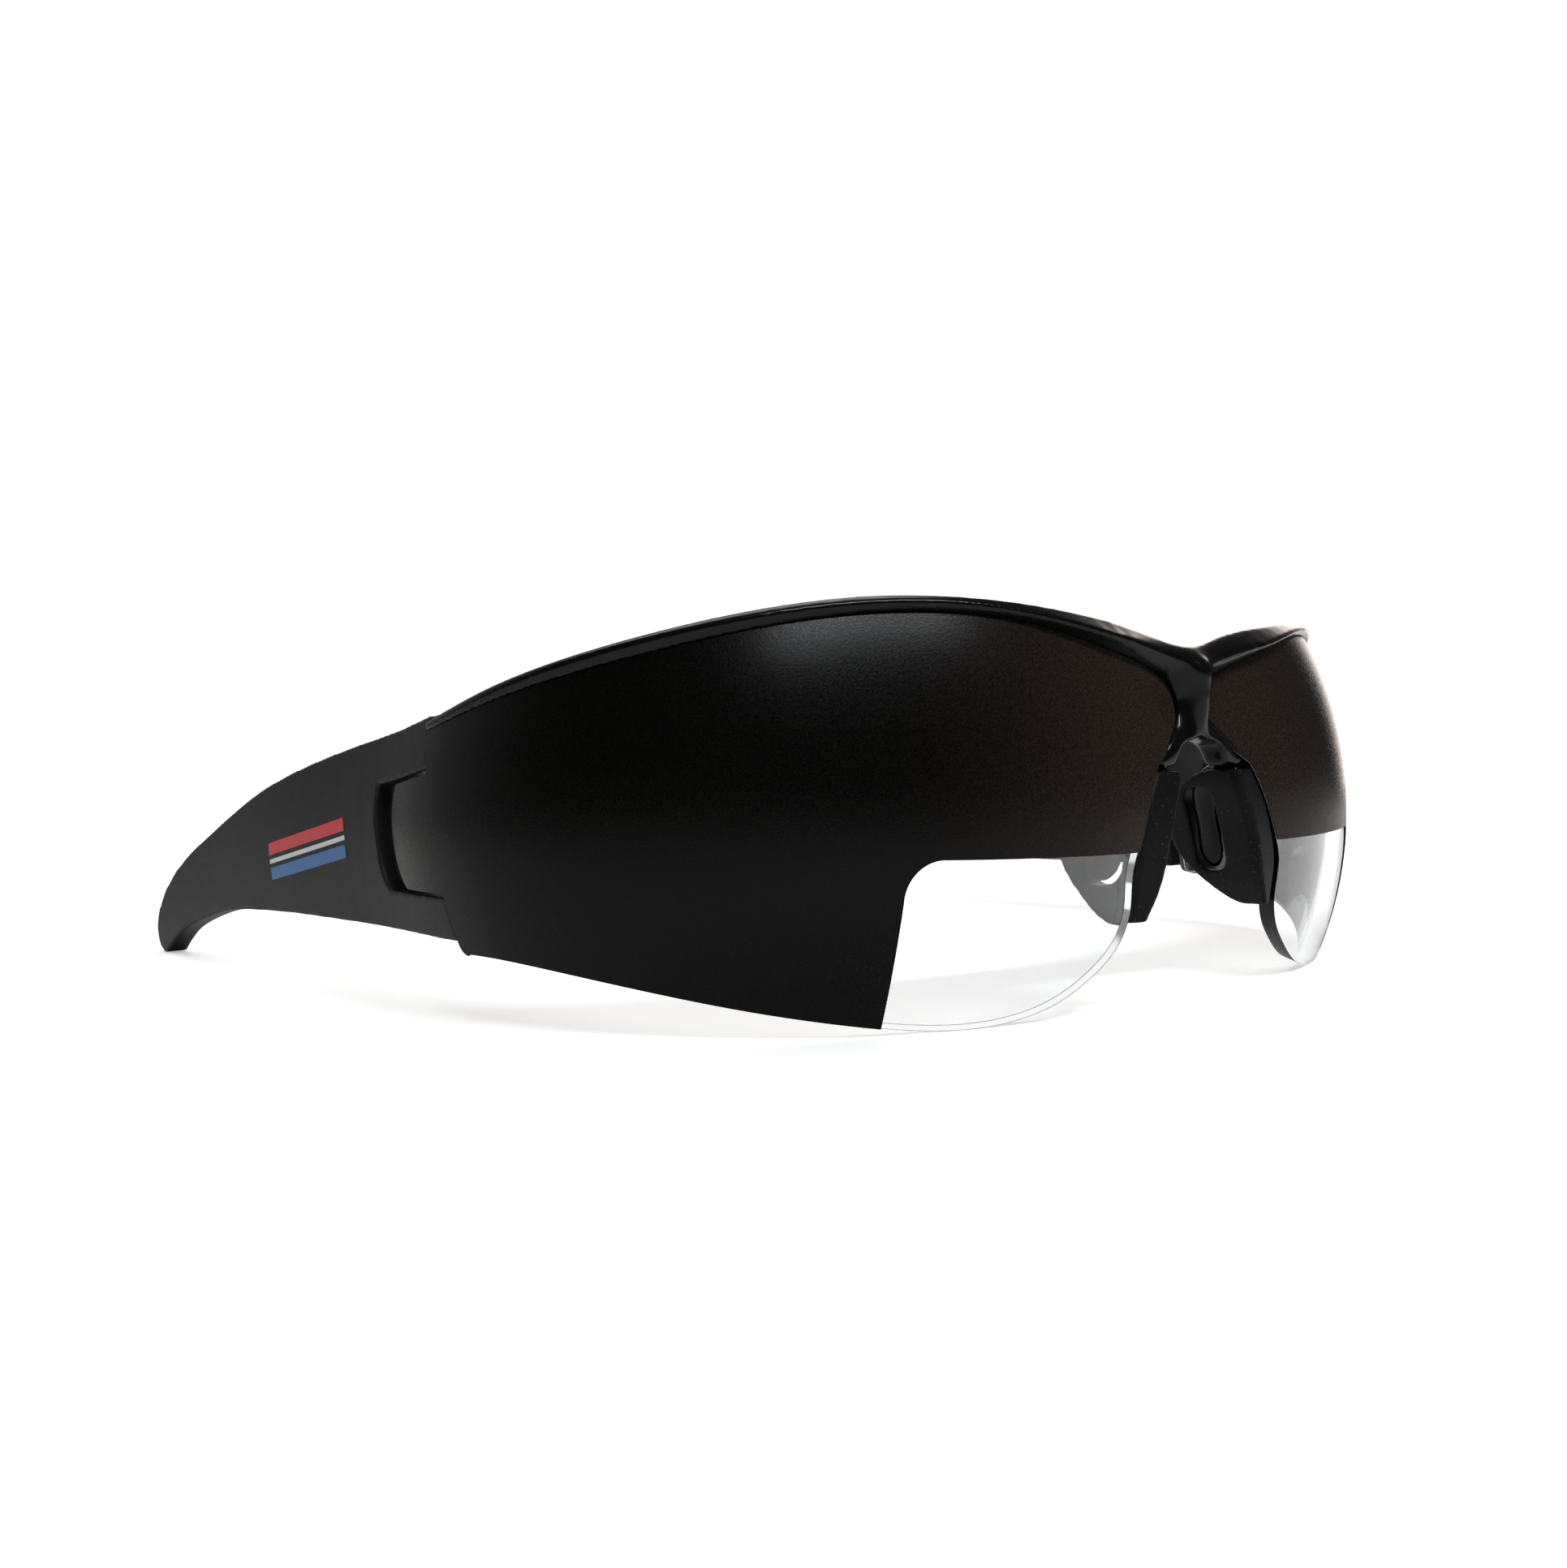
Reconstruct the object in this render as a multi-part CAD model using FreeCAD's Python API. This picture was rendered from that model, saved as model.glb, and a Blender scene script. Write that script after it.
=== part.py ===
import FreeCAD, Part
import math
import os

os.makedirs("parts", exist_ok=True)

# View limiting training glasses: semi-rimless wraparound glasses whose two lenses
# carry an opaque coat, with a clear window left low beside the nose.
# Axes: X to the wearer's left, Y from the front of the lenses back to the ear tips,
# Z up from the table. One half is modelled on the wearer's left (+X) and mirrored.

V = FreeCAD.Vector

# Lens: a piece of a thin spherical shell
FRONT_HALF_WIDTH = 70.8
LENS_RADIUS = 55.6
LENS_THICKNESS = 2.2
LENS_FRONT_Y = 3.6
LENS_BULGE_HEIGHT = 21.0
COAT_THICKNESS = 0.2
WINDOW_CORNER_RADIUS = 4.5

# Brow bar and bridge
GROOVE_DEPTH = 1.1
BROW_LIP = 0.4
BROW_BACK_WALL = 1.4
CREST_BEVEL = 0.35
BACK_BEVEL = 0.5
STEM_CREST_Y = 3.2
STEM_CREST_Z = 38.7
LEG_THICKNESS = 3.4
BRIDGE_SHOULDER = 1.0

# Hinge
HINGE_Y = 63.0
HINGE_BARREL_RADIUS = 2.2
HINGE_MID_HEIGHT = 21.3
TEMPLE_KNUCKLE_HEIGHT = 3.2
FRAME_KNUCKLE_HEIGHT = 3.5
KNUCKLE_GAP = 0.15
HINGE_SIDE_GAP = 0.3
LUG_THICKNESS = 2.2
SWING_RELIEF_Z = 30.5
SCREW_RADIUS = 0.7
SCREW_HEAD_RADIUS = 1.35
SCREW_HEAD_HEIGHT = 0.9
SCREW_SLOT_WIDTH = 0.35
SCREW_RUNNING_GAP = 0.05

# Seam between the front and the temple, in the side view (y, z)
SEAM_BOTTOM = (55.2, 9.4)
SEAM_TOP = (62.0, 35.2)
SEAM_GAP = 0.25

# Temple
TEMPLE_TIP_HALF_WIDTH = 70.6
TEMPLE_STRAIGHT_Y = 71.0
TEMPLE_ROOT_THICKNESS = 4.4
TEMPLE_CROWN_RADIUS = 55.6
NOTCH_FLOOR_DEPTH = 2.5
TONGUE_END_GAP = 0.45

# Nose pads
PAD_WING_THICKNESS = 2.8
PAD_BEVEL = 0.25
PAD_CORNER = 0.5
PAD_TOP_Z = 26.5
PAD_BOTTOM_Z = 9.8
PAD_FIT = 0.05
CARRIER_THICKNESS = 1.1
PAD_WINDOW_WIDTH = 4.6
PAD_WINDOW_HEIGHT = 10.4
PAD_SPLAY = 0.12
PAD_FRONT_Y = 3.5
PAD_CROWN = 0.8
PAD_BAR_DEPTH = 1.2
PAD_REACH = 20.0

# Fit of the lens in the groove
LENS_FIT = 0.03

# Places that follow from the sizes above
LENS_CENTRE = V(FRONT_HALF_WIDTH - LENS_RADIUS, LENS_FRONT_Y + LENS_RADIUS, LENS_BULGE_HEIGHT)
LENS_INNER_RADIUS = LENS_RADIUS - LENS_THICKNESS

# Lens outline. Front view points are (x, z), side view points are (y, z).
TOP_EDGE_FRONT = [(5.4, 37.6), (8.9, 39.2), (16.0, 41.4), (22.5, 42.9), (30.0, 43.9), (37.0, 43.9), (44.5, 43.2),
                  (51.5, 42.0), (58.5, 40.4)]
TOP_EDGE_SIDE = [(43.5, 37.4), (53.5, 35.0)]
TOP_EDGE_END_Z = 33.7
BOTTOM_EDGE_SIDE = [(48.0, 7.9), (38.0, 6.6)]
BOTTOM_EDGE_FRONT = [(60.2, 5.1), (53.0, 3.0), (45.0, 1.25), (35.0, 0.0), (28.5, 0.4), (23.2, 1.9), (18.5, 4.7)]
NOSE_EDGE_FRONT = [(15.4, 7.9), (14.4, 10.9), (14.5, 15.3), (13.2, 19.0), (11.7, 22.6), (9.2, 27.1)]
STEM_EDGE_FRONT = [(6.7, 29.5), (4.3, 31.7), (2.7, 34.0), (3.2, 36.0)]
TONGUE_TOP_Z = 28.3
TONGUE_BOTTOM_Z = 14.8
TONGUE_TIP = [(69.3, 27.3), (71.0, 26.0), (71.5, 23.6), (70.8, 20.6), (69.0, 17.1), (66.4, 14.9)]

# Clear window in the coat, front view (x, z): the level edge and the upright edge
WINDOW_LEVEL_EDGE = [(8.0, 17.7), (38.6, 18.2)]
WINDOW_UPRIGHT_EDGE = [(42.5, 14.0), (42.0, -4.0)]

# Brow sections: wrap angle round the lens axis in degrees, height of the lens seam,
# ledge in front of the lens, crest rise and top rise above the seam, top set back from the crest
BROW_SECTIONS = [
    (-10.0, 37.8, 2.5, 1.8, 4.4, 2.0),
    (-4.0, 39.6, 2.3, 1.3, 3.8, 2.6),
    (4.0, 41.5, 2.1, 0.9, 2.9, 2.4),
    (15.0, 43.5, 1.4, 0.8, 1.95, 1.4),
    (30.0, 43.95, 1.2, 0.95, 1.85, 1.1),
    (50.0, 41.7, 1.0, 1.3, 2.1, 1.0),
    (70.0, 38.1, 0.8, 1.3, 2.0, 0.9),
    (86.0, 34.7, 0.6, 1.0, 1.55, 0.9),
    (99.0, 32.9, 0.45, 0.7, 1.15, 0.8),
]

# Stem and leg rows: crest (x, y, z) at the middle or the arch, then the edge at the lens (x, z)
BRIDGE_ROWS = [
    ((0.0, STEM_CREST_Y + 2.2, 40.0), (5.6, 39.6)),
    ((0.0, STEM_CREST_Y, 37.6), (4.2, 37.3)),
    ((0.0, STEM_CREST_Y + 0.3, 35.2), (2.9, 35.2)),
    ((0.0, STEM_CREST_Y + 0.6, 32.9), (2.9, 33.6)),
    ((0.0, STEM_CREST_Y + 1.1, 30.6), (4.0, 32.0)),
    ((2.3, STEM_CREST_Y + 1.1, 29.8), (5.7, 30.4)),
    ((4.1, STEM_CREST_Y + 1.2, 28.3), (7.4, 28.8)),
    ((5.0, STEM_CREST_Y + 1.4, 26.7), (8.9, 27.3)),
]

# Temple outline in the side view (y, z)
TEMPLE_TOP = [(69.9, 33.9), (81.6, 31.9), (101.4, 27.5), (122.2, 22.6), (138.5, 18.4), (147.5, 15.9),
              (154.5, 12.6), (158.8, 9.2), (160.8, 6.2)]
TEMPLE_TIP = [(161.0, 2.2), (158.6, 0.0)]
TEMPLE_HEEL = [(157.2, 0.2), (154.2, 2.0), (150.0, 4.0), (146.0, 5.3), (139.3, 6.9), (131.0, 8.4), (120.0, 9.3),
               (104.0, 9.7)]
TEMPLE_FRONT_BOTTOM_Z = 9.4

# Temple stations: y, thickness, crown height
TEMPLE_STATIONS = [
    (53.0, TEMPLE_ROOT_THICKNESS, 21.0),
    (66.0, TEMPLE_ROOT_THICKNESS, 21.0),
    (78.0, 4.3, 20.5),
    (104.0, 3.2, 18.0),
    (124.0, 2.9, 14.5),
    (143.0, 3.1, 9.0),
    (166.0, 3.5, 3.0),
]

# Notch in the temple round the lens tongue, side view (y, z)
NOTCH_TOP_Z = 28.9
NOTCH_BOTTOM_Z = 14.3
NOTCH_REAR = [(76.0, 27.0), (76.4, 24.2), (75.7, 19.6), (74.4, 16.0), (72.6, NOTCH_BOTTOM_Z)]

# Nose pad: front corner of its nose side (x, z) and side view of the wing (y, z)
PAD_FACE = [(5.6, 26.7), (5.9, 24.6), (6.8, 22.4), (8.1, 19.0), (9.1, 15.3), (10.2, 12.4), (11.3, 10.4), (12.0, 8.0)]
PAD_WING_OUTLINE = [(4.6, 26.5), (4.1, 22.3), (4.0, 18.5), (4.2, 14.8), (4.7, 12.0), (5.6, 10.3), (6.9, PAD_BOTTOM_Z), (9.2, 10.3),
                    (11.6, 11.9), (14.0, 14.0), (15.9, 16.6), (16.3, 19.5), (14.8, 22.6), (11.8, 25.2), (7.9, 26.5)]
PAD_WINDOW_CENTRE = (10.6, 19.1)

# Bar of the pad along the lens edge: height, and how far its front corner is from the edge
PAD_BAR_ROWS = [(PAD_TOP_Z, 0.15), (24.6, 0.15), (22.4, 0.2), (19.0, 0.45), (15.3, 0.95), (12.4, 0.9), (10.9, 0.9),
                (PAD_BOTTOM_Z, 1.3)]

# Carrier inside the pad, side view (y, z), and the heights between which its slab runs
CARRIER_TOP_Z = 28.2
CARRIER_BOTTOM_Z = 13.4
CARRIER_OUTLINE = [(5.1, 27.6), (8.0, 27.6), (12.3, 23.6), (12.7, 19.4), (12.4, 15.0), (10.8, 14.2), (9.6, 15.2),
                   (9.1, 19.4), (7.4, 23.8)]


# Small geometry helpers

def lens_y(x, z, radius=LENS_RADIUS):
    """Depth of the lens sphere at a front view point."""
    side = (x - LENS_CENTRE.x) ** 2 + (z - LENS_CENTRE.z) ** 2
    return LENS_CENTRE.y - math.sqrt(radius ** 2 - side)


def lens_x(y, z, radius=LENS_RADIUS):
    """Half width of the lens sphere at a side view point."""
    side = (y - LENS_CENTRE.y) ** 2 + (z - LENS_CENTRE.z) ** 2
    return LENS_CENTRE.x + math.sqrt(radius ** 2 - side)


def plan_radius(z, radius=LENS_RADIUS):
    """Radius of the sphere's level circle at a height."""
    return math.sqrt(radius ** 2 - (z - LENS_CENTRE.z) ** 2)


def front_point(x, z):
    return V(x, lens_y(x, z), z)


def side_point(y, z):
    return V(lens_x(y, z), y, z)


def seam_y(z):
    """Depth of the slanted seam at a height."""
    slope = (SEAM_TOP[0] - SEAM_BOTTOM[0]) / (SEAM_TOP[1] - SEAM_BOTTOM[1])
    return SEAM_BOTTOM[0] + slope * (z - SEAM_BOTTOM[1])


def spline(points):
    curve = Part.BSplineCurve()
    curve.interpolate(points)
    return curve.toShape()


def closed_spline(points):
    curve = Part.BSplineCurve()
    curve.interpolate(Points=points, PeriodicFlag=True)
    return curve.toShape()


def line(start, end):
    return Part.makeLine(start, end)


def arc(start, middle, end):
    return Part.Arc(start, middle, end).toShape()


def rounded_wire(corners, radii):
    """Closed wire through planar corners, each rounded by its own radius."""
    count = len(corners)
    pieces = []
    for i in range(count):
        here = corners[i]
        back = (corners[i - 1] - here).normalize()
        ahead = (corners[(i + 1) % count] - here).normalize()
        half = back.getAngle(ahead) / 2
        reach = radii[i] / math.tan(half)
        bisector = (back + ahead).normalize()
        middle = here + bisector * (radii[i] / math.sin(half) - radii[i])
        pieces.append((here + back * reach, middle, here + ahead * reach))
    edges = []
    for i in range(count):
        start, middle, end = pieces[i]
        if radii[i] > 0:
            edges.append(arc(start, middle, end))
        edges.append(line(end, pieces[(i + 1) % count][0]))
    return Part.Wire(edges)


def bevelled_wire(corners, reaches):
    """Closed polygon whose corners are cut off at a reach from each; none where it is 0."""
    count = len(corners)
    points = []
    for i in range(count):
        here = corners[i]
        back = (corners[i - 1] - here).normalize()
        ahead = (corners[(i + 1) % count] - here).normalize()
        if reaches[i] == 0:
            points.append(here)
        else:
            points += [here + back * reaches[i], here + ahead * reaches[i]]
    return Part.makePolygon(points + [points[0]])


def prism(edges, direction):
    """Solid swept along a direction from a closed planar outline."""
    return Part.Face(Part.Wire(edges)).extrude(direction)


def polygon_prism(points, direction):
    return Part.Face(Part.makePolygon(points + [points[0]])).extrude(direction)


def smooth_loft(wires):
    """Solid through closed sections, its surface a cubic so that it doesn't swing between them."""
    return Part.makeLoft(wires, True, False, False, 3)


def mirrored(shape):
    """The wearer's right piece from the left one."""
    return shape.mirror(V(0, 0, 0), V(1, 0, 0))


def shell_solid(inner, outer):
    """Whole spherical shell round the lens centre, its seam turned to the back."""
    solid = Part.makeSphere(outer, LENS_CENTRE).cut(Part.makeSphere(inner, LENS_CENTRE))
    solid.rotate(LENS_CENTRE, V(0, 0, 1), 135)
    return solid


# Cutting straight through the shell, square to its surface

CUT_WRAP = math.radians(44.0)
CUT_AXIS = V(math.sin(CUT_WRAP), -math.cos(CUT_WRAP), 0)
CUT_NEAR = 0.35 * LENS_RADIUS
CUT_FAR = 1.1 * LENS_RADIUS


def on_cut_plane(point, distance):
    """Project a point from the lens centre to a plane square to the cut axis."""
    ray = point - LENS_CENTRE
    return LENS_CENTRE + ray * (distance / ray.dot(CUT_AXIS))


def radial_cutter(segments):
    """Solid cone from the lens centre through a closed outline drawn on the lens."""
    wires = []
    for distance in (CUT_NEAR, CUT_FAR):
        edges = []
        for kind, points in segments:
            flat = [on_cut_plane(point, distance) for point in points]
            if kind == "spline":
                edges.append(spline(flat))
            elif kind == "arc":
                edges.append(arc(*flat))
            else:
                edges.append(line(*flat))
        wires.append(Part.Wire(edges))
    return Part.makeLoft(wires, True, True)


def lens_outline():
    """Closed outline of the left lens, its grooved edges included."""
    top = [front_point(x, z + GROOVE_DEPTH) for x, z in TOP_EDGE_FRONT[1:]]
    top += [side_point(y, z + GROOVE_DEPTH) for y, z in TOP_EDGE_SIDE]
    top_end = TOP_EDGE_END_Z + GROOVE_DEPTH
    top.append(side_point(seam_y(top_end), top_end))
    upper_seam = side_point(seam_y(TONGUE_TOP_Z), TONGUE_TOP_Z)
    tongue = [side_point(y, z) for y, z in TONGUE_TIP]
    lower_seam = side_point(seam_y(TONGUE_BOTTOM_Z), TONGUE_BOTTOM_Z)
    seam_end = side_point(*SEAM_BOTTOM)
    corner = side_point(SEAM_BOTTOM[0] - 0.45, SEAM_BOTTOM[1] - 0.95)
    corner_end = side_point(SEAM_BOTTOM[0] - 2.0, SEAM_BOTTOM[1] - 1.3)
    rim = [corner_end]
    rim += [side_point(y, z) for y, z in BOTTOM_EDGE_SIDE]
    rim += [front_point(x, z) for x, z in BOTTOM_EDGE_FRONT + NOSE_EDGE_FRONT]
    stem = [rim[-1]]
    stem += [front_point(x - GROOVE_DEPTH, z) for x, z in STEM_EDGE_FRONT]
    first_x, first_z = TOP_EDGE_FRONT[0]
    stem.append(front_point(first_x - 0.7 * GROOVE_DEPTH, first_z + 0.5 * GROOVE_DEPTH))
    stem.append(top[0])
    return [
        ("spline", top),
        ("line", [top[-1], upper_seam]),
        ("line", [upper_seam, tongue[0]]),
        ("spline", tongue),
        ("line", [tongue[-1], lower_seam]),
        ("line", [lower_seam, seam_end]),
        ("arc", [seam_end, corner, corner_end]),
        ("spline", rim),
        ("spline", stem),
    ]


def window_outline():
    """Closed outline of the clear window, run out past the lens below and at the nose."""
    level_start, level_end = [front_point(x, z) for x, z in WINDOW_LEVEL_EDGE]
    upright_start, upright_end = [front_point(x, z) for x, z in WINDOW_UPRIGHT_EDGE]
    outside = front_point(WINDOW_LEVEL_EDGE[0][0], WINDOW_UPRIGHT_EDGE[1][1])
    corner_x = WINDOW_UPRIGHT_EDGE[0][0] - 0.29 * WINDOW_CORNER_RADIUS
    corner_z = WINDOW_LEVEL_EDGE[1][1] - 0.2 * WINDOW_CORNER_RADIUS
    corner = front_point(corner_x, corner_z)
    return [
        ("line", [level_start, level_end]),
        ("arc", [level_end, corner, upright_start]),
        ("line", [upright_start, upright_end]),
        ("line", [upright_end, outside]),
        ("line", [outside, level_start]),
    ]


LENS_CUTTER = radial_cutter(lens_outline())


def make_lens():
    return shell_solid(LENS_INNER_RADIUS, LENS_RADIUS).common(LENS_CUTTER)


def make_coat(frame):
    """Opaque coat on the lens, stopped by the brow bar and open at the window."""
    film = shell_solid(LENS_RADIUS, LENS_RADIUS + COAT_THICKNESS).common(LENS_CUTTER)
    film = film.cut(radial_cutter(window_outline()))
    return film.cut(frame)


# Frame: brow bar, bridge stem, legs, pad carriers and hinge lugs

def brow_section(place, seam_z, ledge, crest_rise, top_rise, set_back, seam_radius, inner_radius):
    """One closed section of the brow bar; place turns (radius, z) into a point."""
    crest = seam_radius + ledge
    back = inner_radius - BROW_BACK_WALL
    corners = [
        place(seam_radius + BROW_LIP, seam_z),
        place(crest, seam_z + crest_rise),
        place(crest - set_back, seam_z + top_rise),
        place(back, seam_z + top_rise - 0.6),
        place(back, seam_z - GROOVE_DEPTH),
        place(inner_radius + 0.5, seam_z - GROOVE_DEPTH),
    ]
    return bevelled_wire(corners, [0, CREST_BEVEL, CREST_BEVEL, BACK_BEVEL, BACK_BEVEL, 0])


def make_half_brow():
    wires = []
    middle_z = STEM_CREST_Z - 2.7

    def place_in_middle(radius, z):
        return V(0, LENS_CENTRE.y - radius, z)

    front_radius = LENS_CENTRE.y - lens_y(0, middle_z)
    back_radius = LENS_CENTRE.y - lens_y(0, middle_z, LENS_INNER_RADIUS)
    ledge = LENS_CENTRE.y - STEM_CREST_Y - front_radius
    wires.append(brow_section(place_in_middle, middle_z, ledge, 2.7, 5.3, 3.0, front_radius, back_radius))
    for wrap, seam_z, ledge, crest_rise, top_rise, set_back in BROW_SECTIONS:
        angle = math.radians(wrap)

        def place(radius, z):
            return V(LENS_CENTRE.x + radius * math.sin(angle), LENS_CENTRE.y - radius * math.cos(angle), z)

        wires.append(brow_section(place, seam_z, ledge, crest_rise, top_rise, set_back,
                                  plan_radius(seam_z), plan_radius(seam_z, LENS_INNER_RADIUS)))
    return smooth_loft(wires)


def make_half_bridge():
    """Half of the stem and one leg: a roof whose rounded crest faces forward."""
    wires = []
    for (crest_x, crest_y, crest_z), (edge_x, edge_z) in BRIDGE_ROWS:
        crest = V(crest_x, crest_y, crest_z)
        edge = V(edge_x, lens_y(edge_x, edge_z) - 0.3 * BROW_LIP, edge_z)
        share = BRIDGE_SHOULDER / (edge_x - crest_x)
        shoulder = crest + (edge - crest) * share
        shoulder.y = crest_y + 0.3 * (shoulder.y - crest_y)
        back_y = edge.y + LEG_THICKNESS
        corners = [crest, shoulder, edge, V(edge_x, back_y, edge_z), V(crest_x, back_y, crest_z)]
        wires.append(Part.makePolygon(corners + [corners[0]]))
    return smooth_loft(wires)


def pad_face_x(z):
    """Nose side of the pad at a height, by straight runs between its points."""
    for (x0, z0), (x1, z1) in zip(PAD_FACE[:-1], PAD_FACE[1:]):
        if z >= z1:
            return x0 + (x1 - x0) * (z - z0) / (z1 - z0)
    return PAD_FACE[-1][0]


def front_band(offset, thickness, top, bottom):
    """Slab along the pad's nose side between two heights, turned outwards to the rear."""
    heights = [top] + [z for x, z in PAD_FACE if bottom < z < top] + [bottom]
    start = PAD_FRONT_Y - PAD_REACH
    near = [V(pad_face_x(z) + offset - PAD_SPLAY * PAD_REACH, start, z) for z in heights]
    far = [point + V(thickness, 0, 0) for point in near]
    edges = [spline(near), line(near[-1], far[-1]), spline(far[::-1]), line(far[0], near[0])]
    return prism(edges, V(2 * PAD_SPLAY * PAD_REACH, 2 * PAD_REACH, 0))


def carrier_slab(gap):
    """Tongue inside the pad; with a gap it is the pocket that the tongue sits in."""
    offset = 0.5 * (PAD_WING_THICKNESS - CARRIER_THICKNESS) - gap
    slab = front_band(offset, CARRIER_THICKNESS + 2 * gap, CARRIER_TOP_Z, CARRIER_BOTTOM_Z)
    points = [V(0, y, z) for y, z in CARRIER_OUTLINE]
    middle = sum(points, V(0, 0, 0)) / len(points)
    grown = [point + (point - middle).normalize() * 2 * gap for point in points]
    return slab.common(prism([closed_spline(grown)], V(PAD_REACH, 0, 0)))


def hinge_axis_x():
    inner = lens_x(HINGE_Y, HINGE_MID_HEIGHT, LENS_INNER_RADIUS)
    return inner - HINGE_SIDE_GAP - HINGE_BARREL_RADIUS


def knuckle_levels():
    """Bottom and top of the temple's knuckle, and of the frame's lower and upper ones."""
    half = TEMPLE_KNUCKLE_HEIGHT / 2
    low = HINGE_MID_HEIGHT - half
    high = HINGE_MID_HEIGHT + half
    lower = (low - KNUCKLE_GAP - FRAME_KNUCKLE_HEIGHT, low - KNUCKLE_GAP)
    upper = (high + KNUCKLE_GAP, high + KNUCKLE_GAP + FRAME_KNUCKLE_HEIGHT)
    return (low, high), lower, upper


def make_lug():
    """Wall behind the lens from the brow down to the hinge, with its two knuckles."""
    outer = LENS_INNER_RADIUS - LENS_FIT
    wall = shell_solid(outer - LUG_THICKNESS, outer)
    rear = HINGE_Y - HINGE_BARREL_RADIUS - 0.5
    (low, high), lower, upper = knuckle_levels()
    outline = [(47.0, 36.5), (rear - 0.5, 34.4), (rear - 0.5, upper[1] + 1), (rear, upper[1] + 1), (rear, lower[0]),
               (54.0, lower[0]), (50.5, 22.0), (46.5, 31.0)]
    reach = V(FRONT_HALF_WIDTH, 0, 0)
    lug = wall.common(polygon_prism([V(40, y, z) for y, z in outline], reach))
    axis = V(hinge_axis_x(), HINGE_Y, 0)
    root_y = rear - 2.0
    for bottom, top in (lower, upper):
        barrel = Part.makeCylinder(HINGE_BARREL_RADIUS, top - bottom, V(axis.x, axis.y, bottom))
        web = [V(axis.x - HINGE_BARREL_RADIUS, HINGE_Y, bottom),
               V(axis.x - HINGE_BARREL_RADIUS, root_y, bottom),
               V(lens_x(root_y, HINGE_MID_HEIGHT, outer) - 0.2, root_y, bottom),
               V(axis.x + HINGE_BARREL_RADIUS, HINGE_Y, bottom)]
        lug = lug.fuse([barrel, polygon_prism(web, V(0, 0, top - bottom))])
    return lug


def hinge_bore(radius):
    lower = knuckle_levels()[1]
    upper = knuckle_levels()[2]
    return Part.makeCylinder(radius, upper[1] - lower[0] + 2, V(hinge_axis_x(), HINGE_Y, lower[0] - 1))


def screw_seat_z():
    return knuckle_levels()[2][1] - SCREW_HEAD_HEIGHT


def make_frame():
    half = make_half_brow()
    seam_line = [V(0, SEAM_BOTTOM[0], SEAM_BOTTOM[1]), V(0, SEAM_TOP[0], SEAM_TOP[1])]
    slope = (seam_line[1] - seam_line[0]).normalize()
    above = seam_line[1] + slope * 10
    below = seam_line[0] - slope * 10
    behind = polygon_prism([below, above, above + V(0, 30, 0), below + V(0, 30, 0)], V(100, 0, 0))
    half = half.cut(behind)
    half = half.fuse([make_half_bridge(), carrier_slab(0), make_lug()])
    groove = shell_solid(LENS_INNER_RADIUS - LENS_FIT, LENS_RADIUS + LENS_FIT).common(LENS_CUTTER)
    half = half.cut(groove)
    half = half.cut(hinge_bore(SCREW_RADIUS))
    seat = Part.makeCylinder(SCREW_HEAD_RADIUS, SCREW_HEAD_HEIGHT + 1, V(hinge_axis_x(), HINGE_Y, screw_seat_z()))
    half = half.cut(seat)
    return half.fuse(mirrored(half)).removeSplitter()


def make_screw():
    (low, high), lower, upper = knuckle_levels()
    seat = screw_seat_z()
    centre = V(hinge_axis_x(), HINGE_Y, 0)
    shank = Part.makeCylinder(SCREW_RADIUS, seat - lower[0], V(centre.x, centre.y, lower[0]))
    head = Part.makeCylinder(SCREW_HEAD_RADIUS, SCREW_HEAD_HEIGHT, V(centre.x, centre.y, seat))
    slot_depth = 0.5 * SCREW_HEAD_HEIGHT
    slot = Part.makeBox(4 * SCREW_HEAD_RADIUS, SCREW_SLOT_WIDTH, slot_depth + 1,
                        V(centre.x - 2 * SCREW_HEAD_RADIUS, centre.y - SCREW_SLOT_WIDTH / 2,
                          seat + SCREW_HEAD_HEIGHT - slot_depth))
    return shank.fuse(head).cut(slot)


# Nose pad

def nose_edge_x(z):
    """Front edge of the lens beside the nose at a height, by straight runs."""
    for (x0, z0), (x1, z1) in zip(NOSE_EDGE_FRONT[:-1], NOSE_EDGE_FRONT[1:]):
        if z <= z1:
            return x0 + (x1 - x0) * (z - z0) / (z1 - z0)
    return NOSE_EDGE_FRONT[-1][0]


def make_pad():
    """Wing along the nose, the bar that closes the lens edge in front of it, and the window."""
    wing_points = [V(0, y, z) for y, z in PAD_WING_OUTLINE]
    edges = [spline(wing_points), line(wing_points[-1], wing_points[0])]
    wing = prism(edges, V(PAD_REACH, 0, 0))
    pad = front_band(0, PAD_WING_THICKNESS, PAD_TOP_Z, PAD_FACE[-1][1]).common(wing)
    sections = []
    for z, inset in PAD_BAR_ROWS:
        edge_x = nose_edge_x(z)
        depth = lens_y(edge_x, z)
        face_x = pad_face_x(z)
        behind = depth + LENS_THICKNESS
        corners = [V(face_x, depth - PAD_CROWN, z), V(edge_x - inset, depth, z),
                   V(edge_x - PAD_FIT, depth + PAD_BAR_DEPTH, z), V(edge_x - PAD_FIT, behind, z),
                   V(face_x + 0.5 * PAD_WING_THICKNESS, behind + PAD_BAR_DEPTH, z)]
        sections.append(bevelled_wire(corners, [PAD_CORNER, PAD_BEVEL, 0, 0, PAD_BEVEL]))
    return pad.fuse(smooth_loft(sections)).cut([carrier_slab(PAD_FIT), pad_window()])


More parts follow.
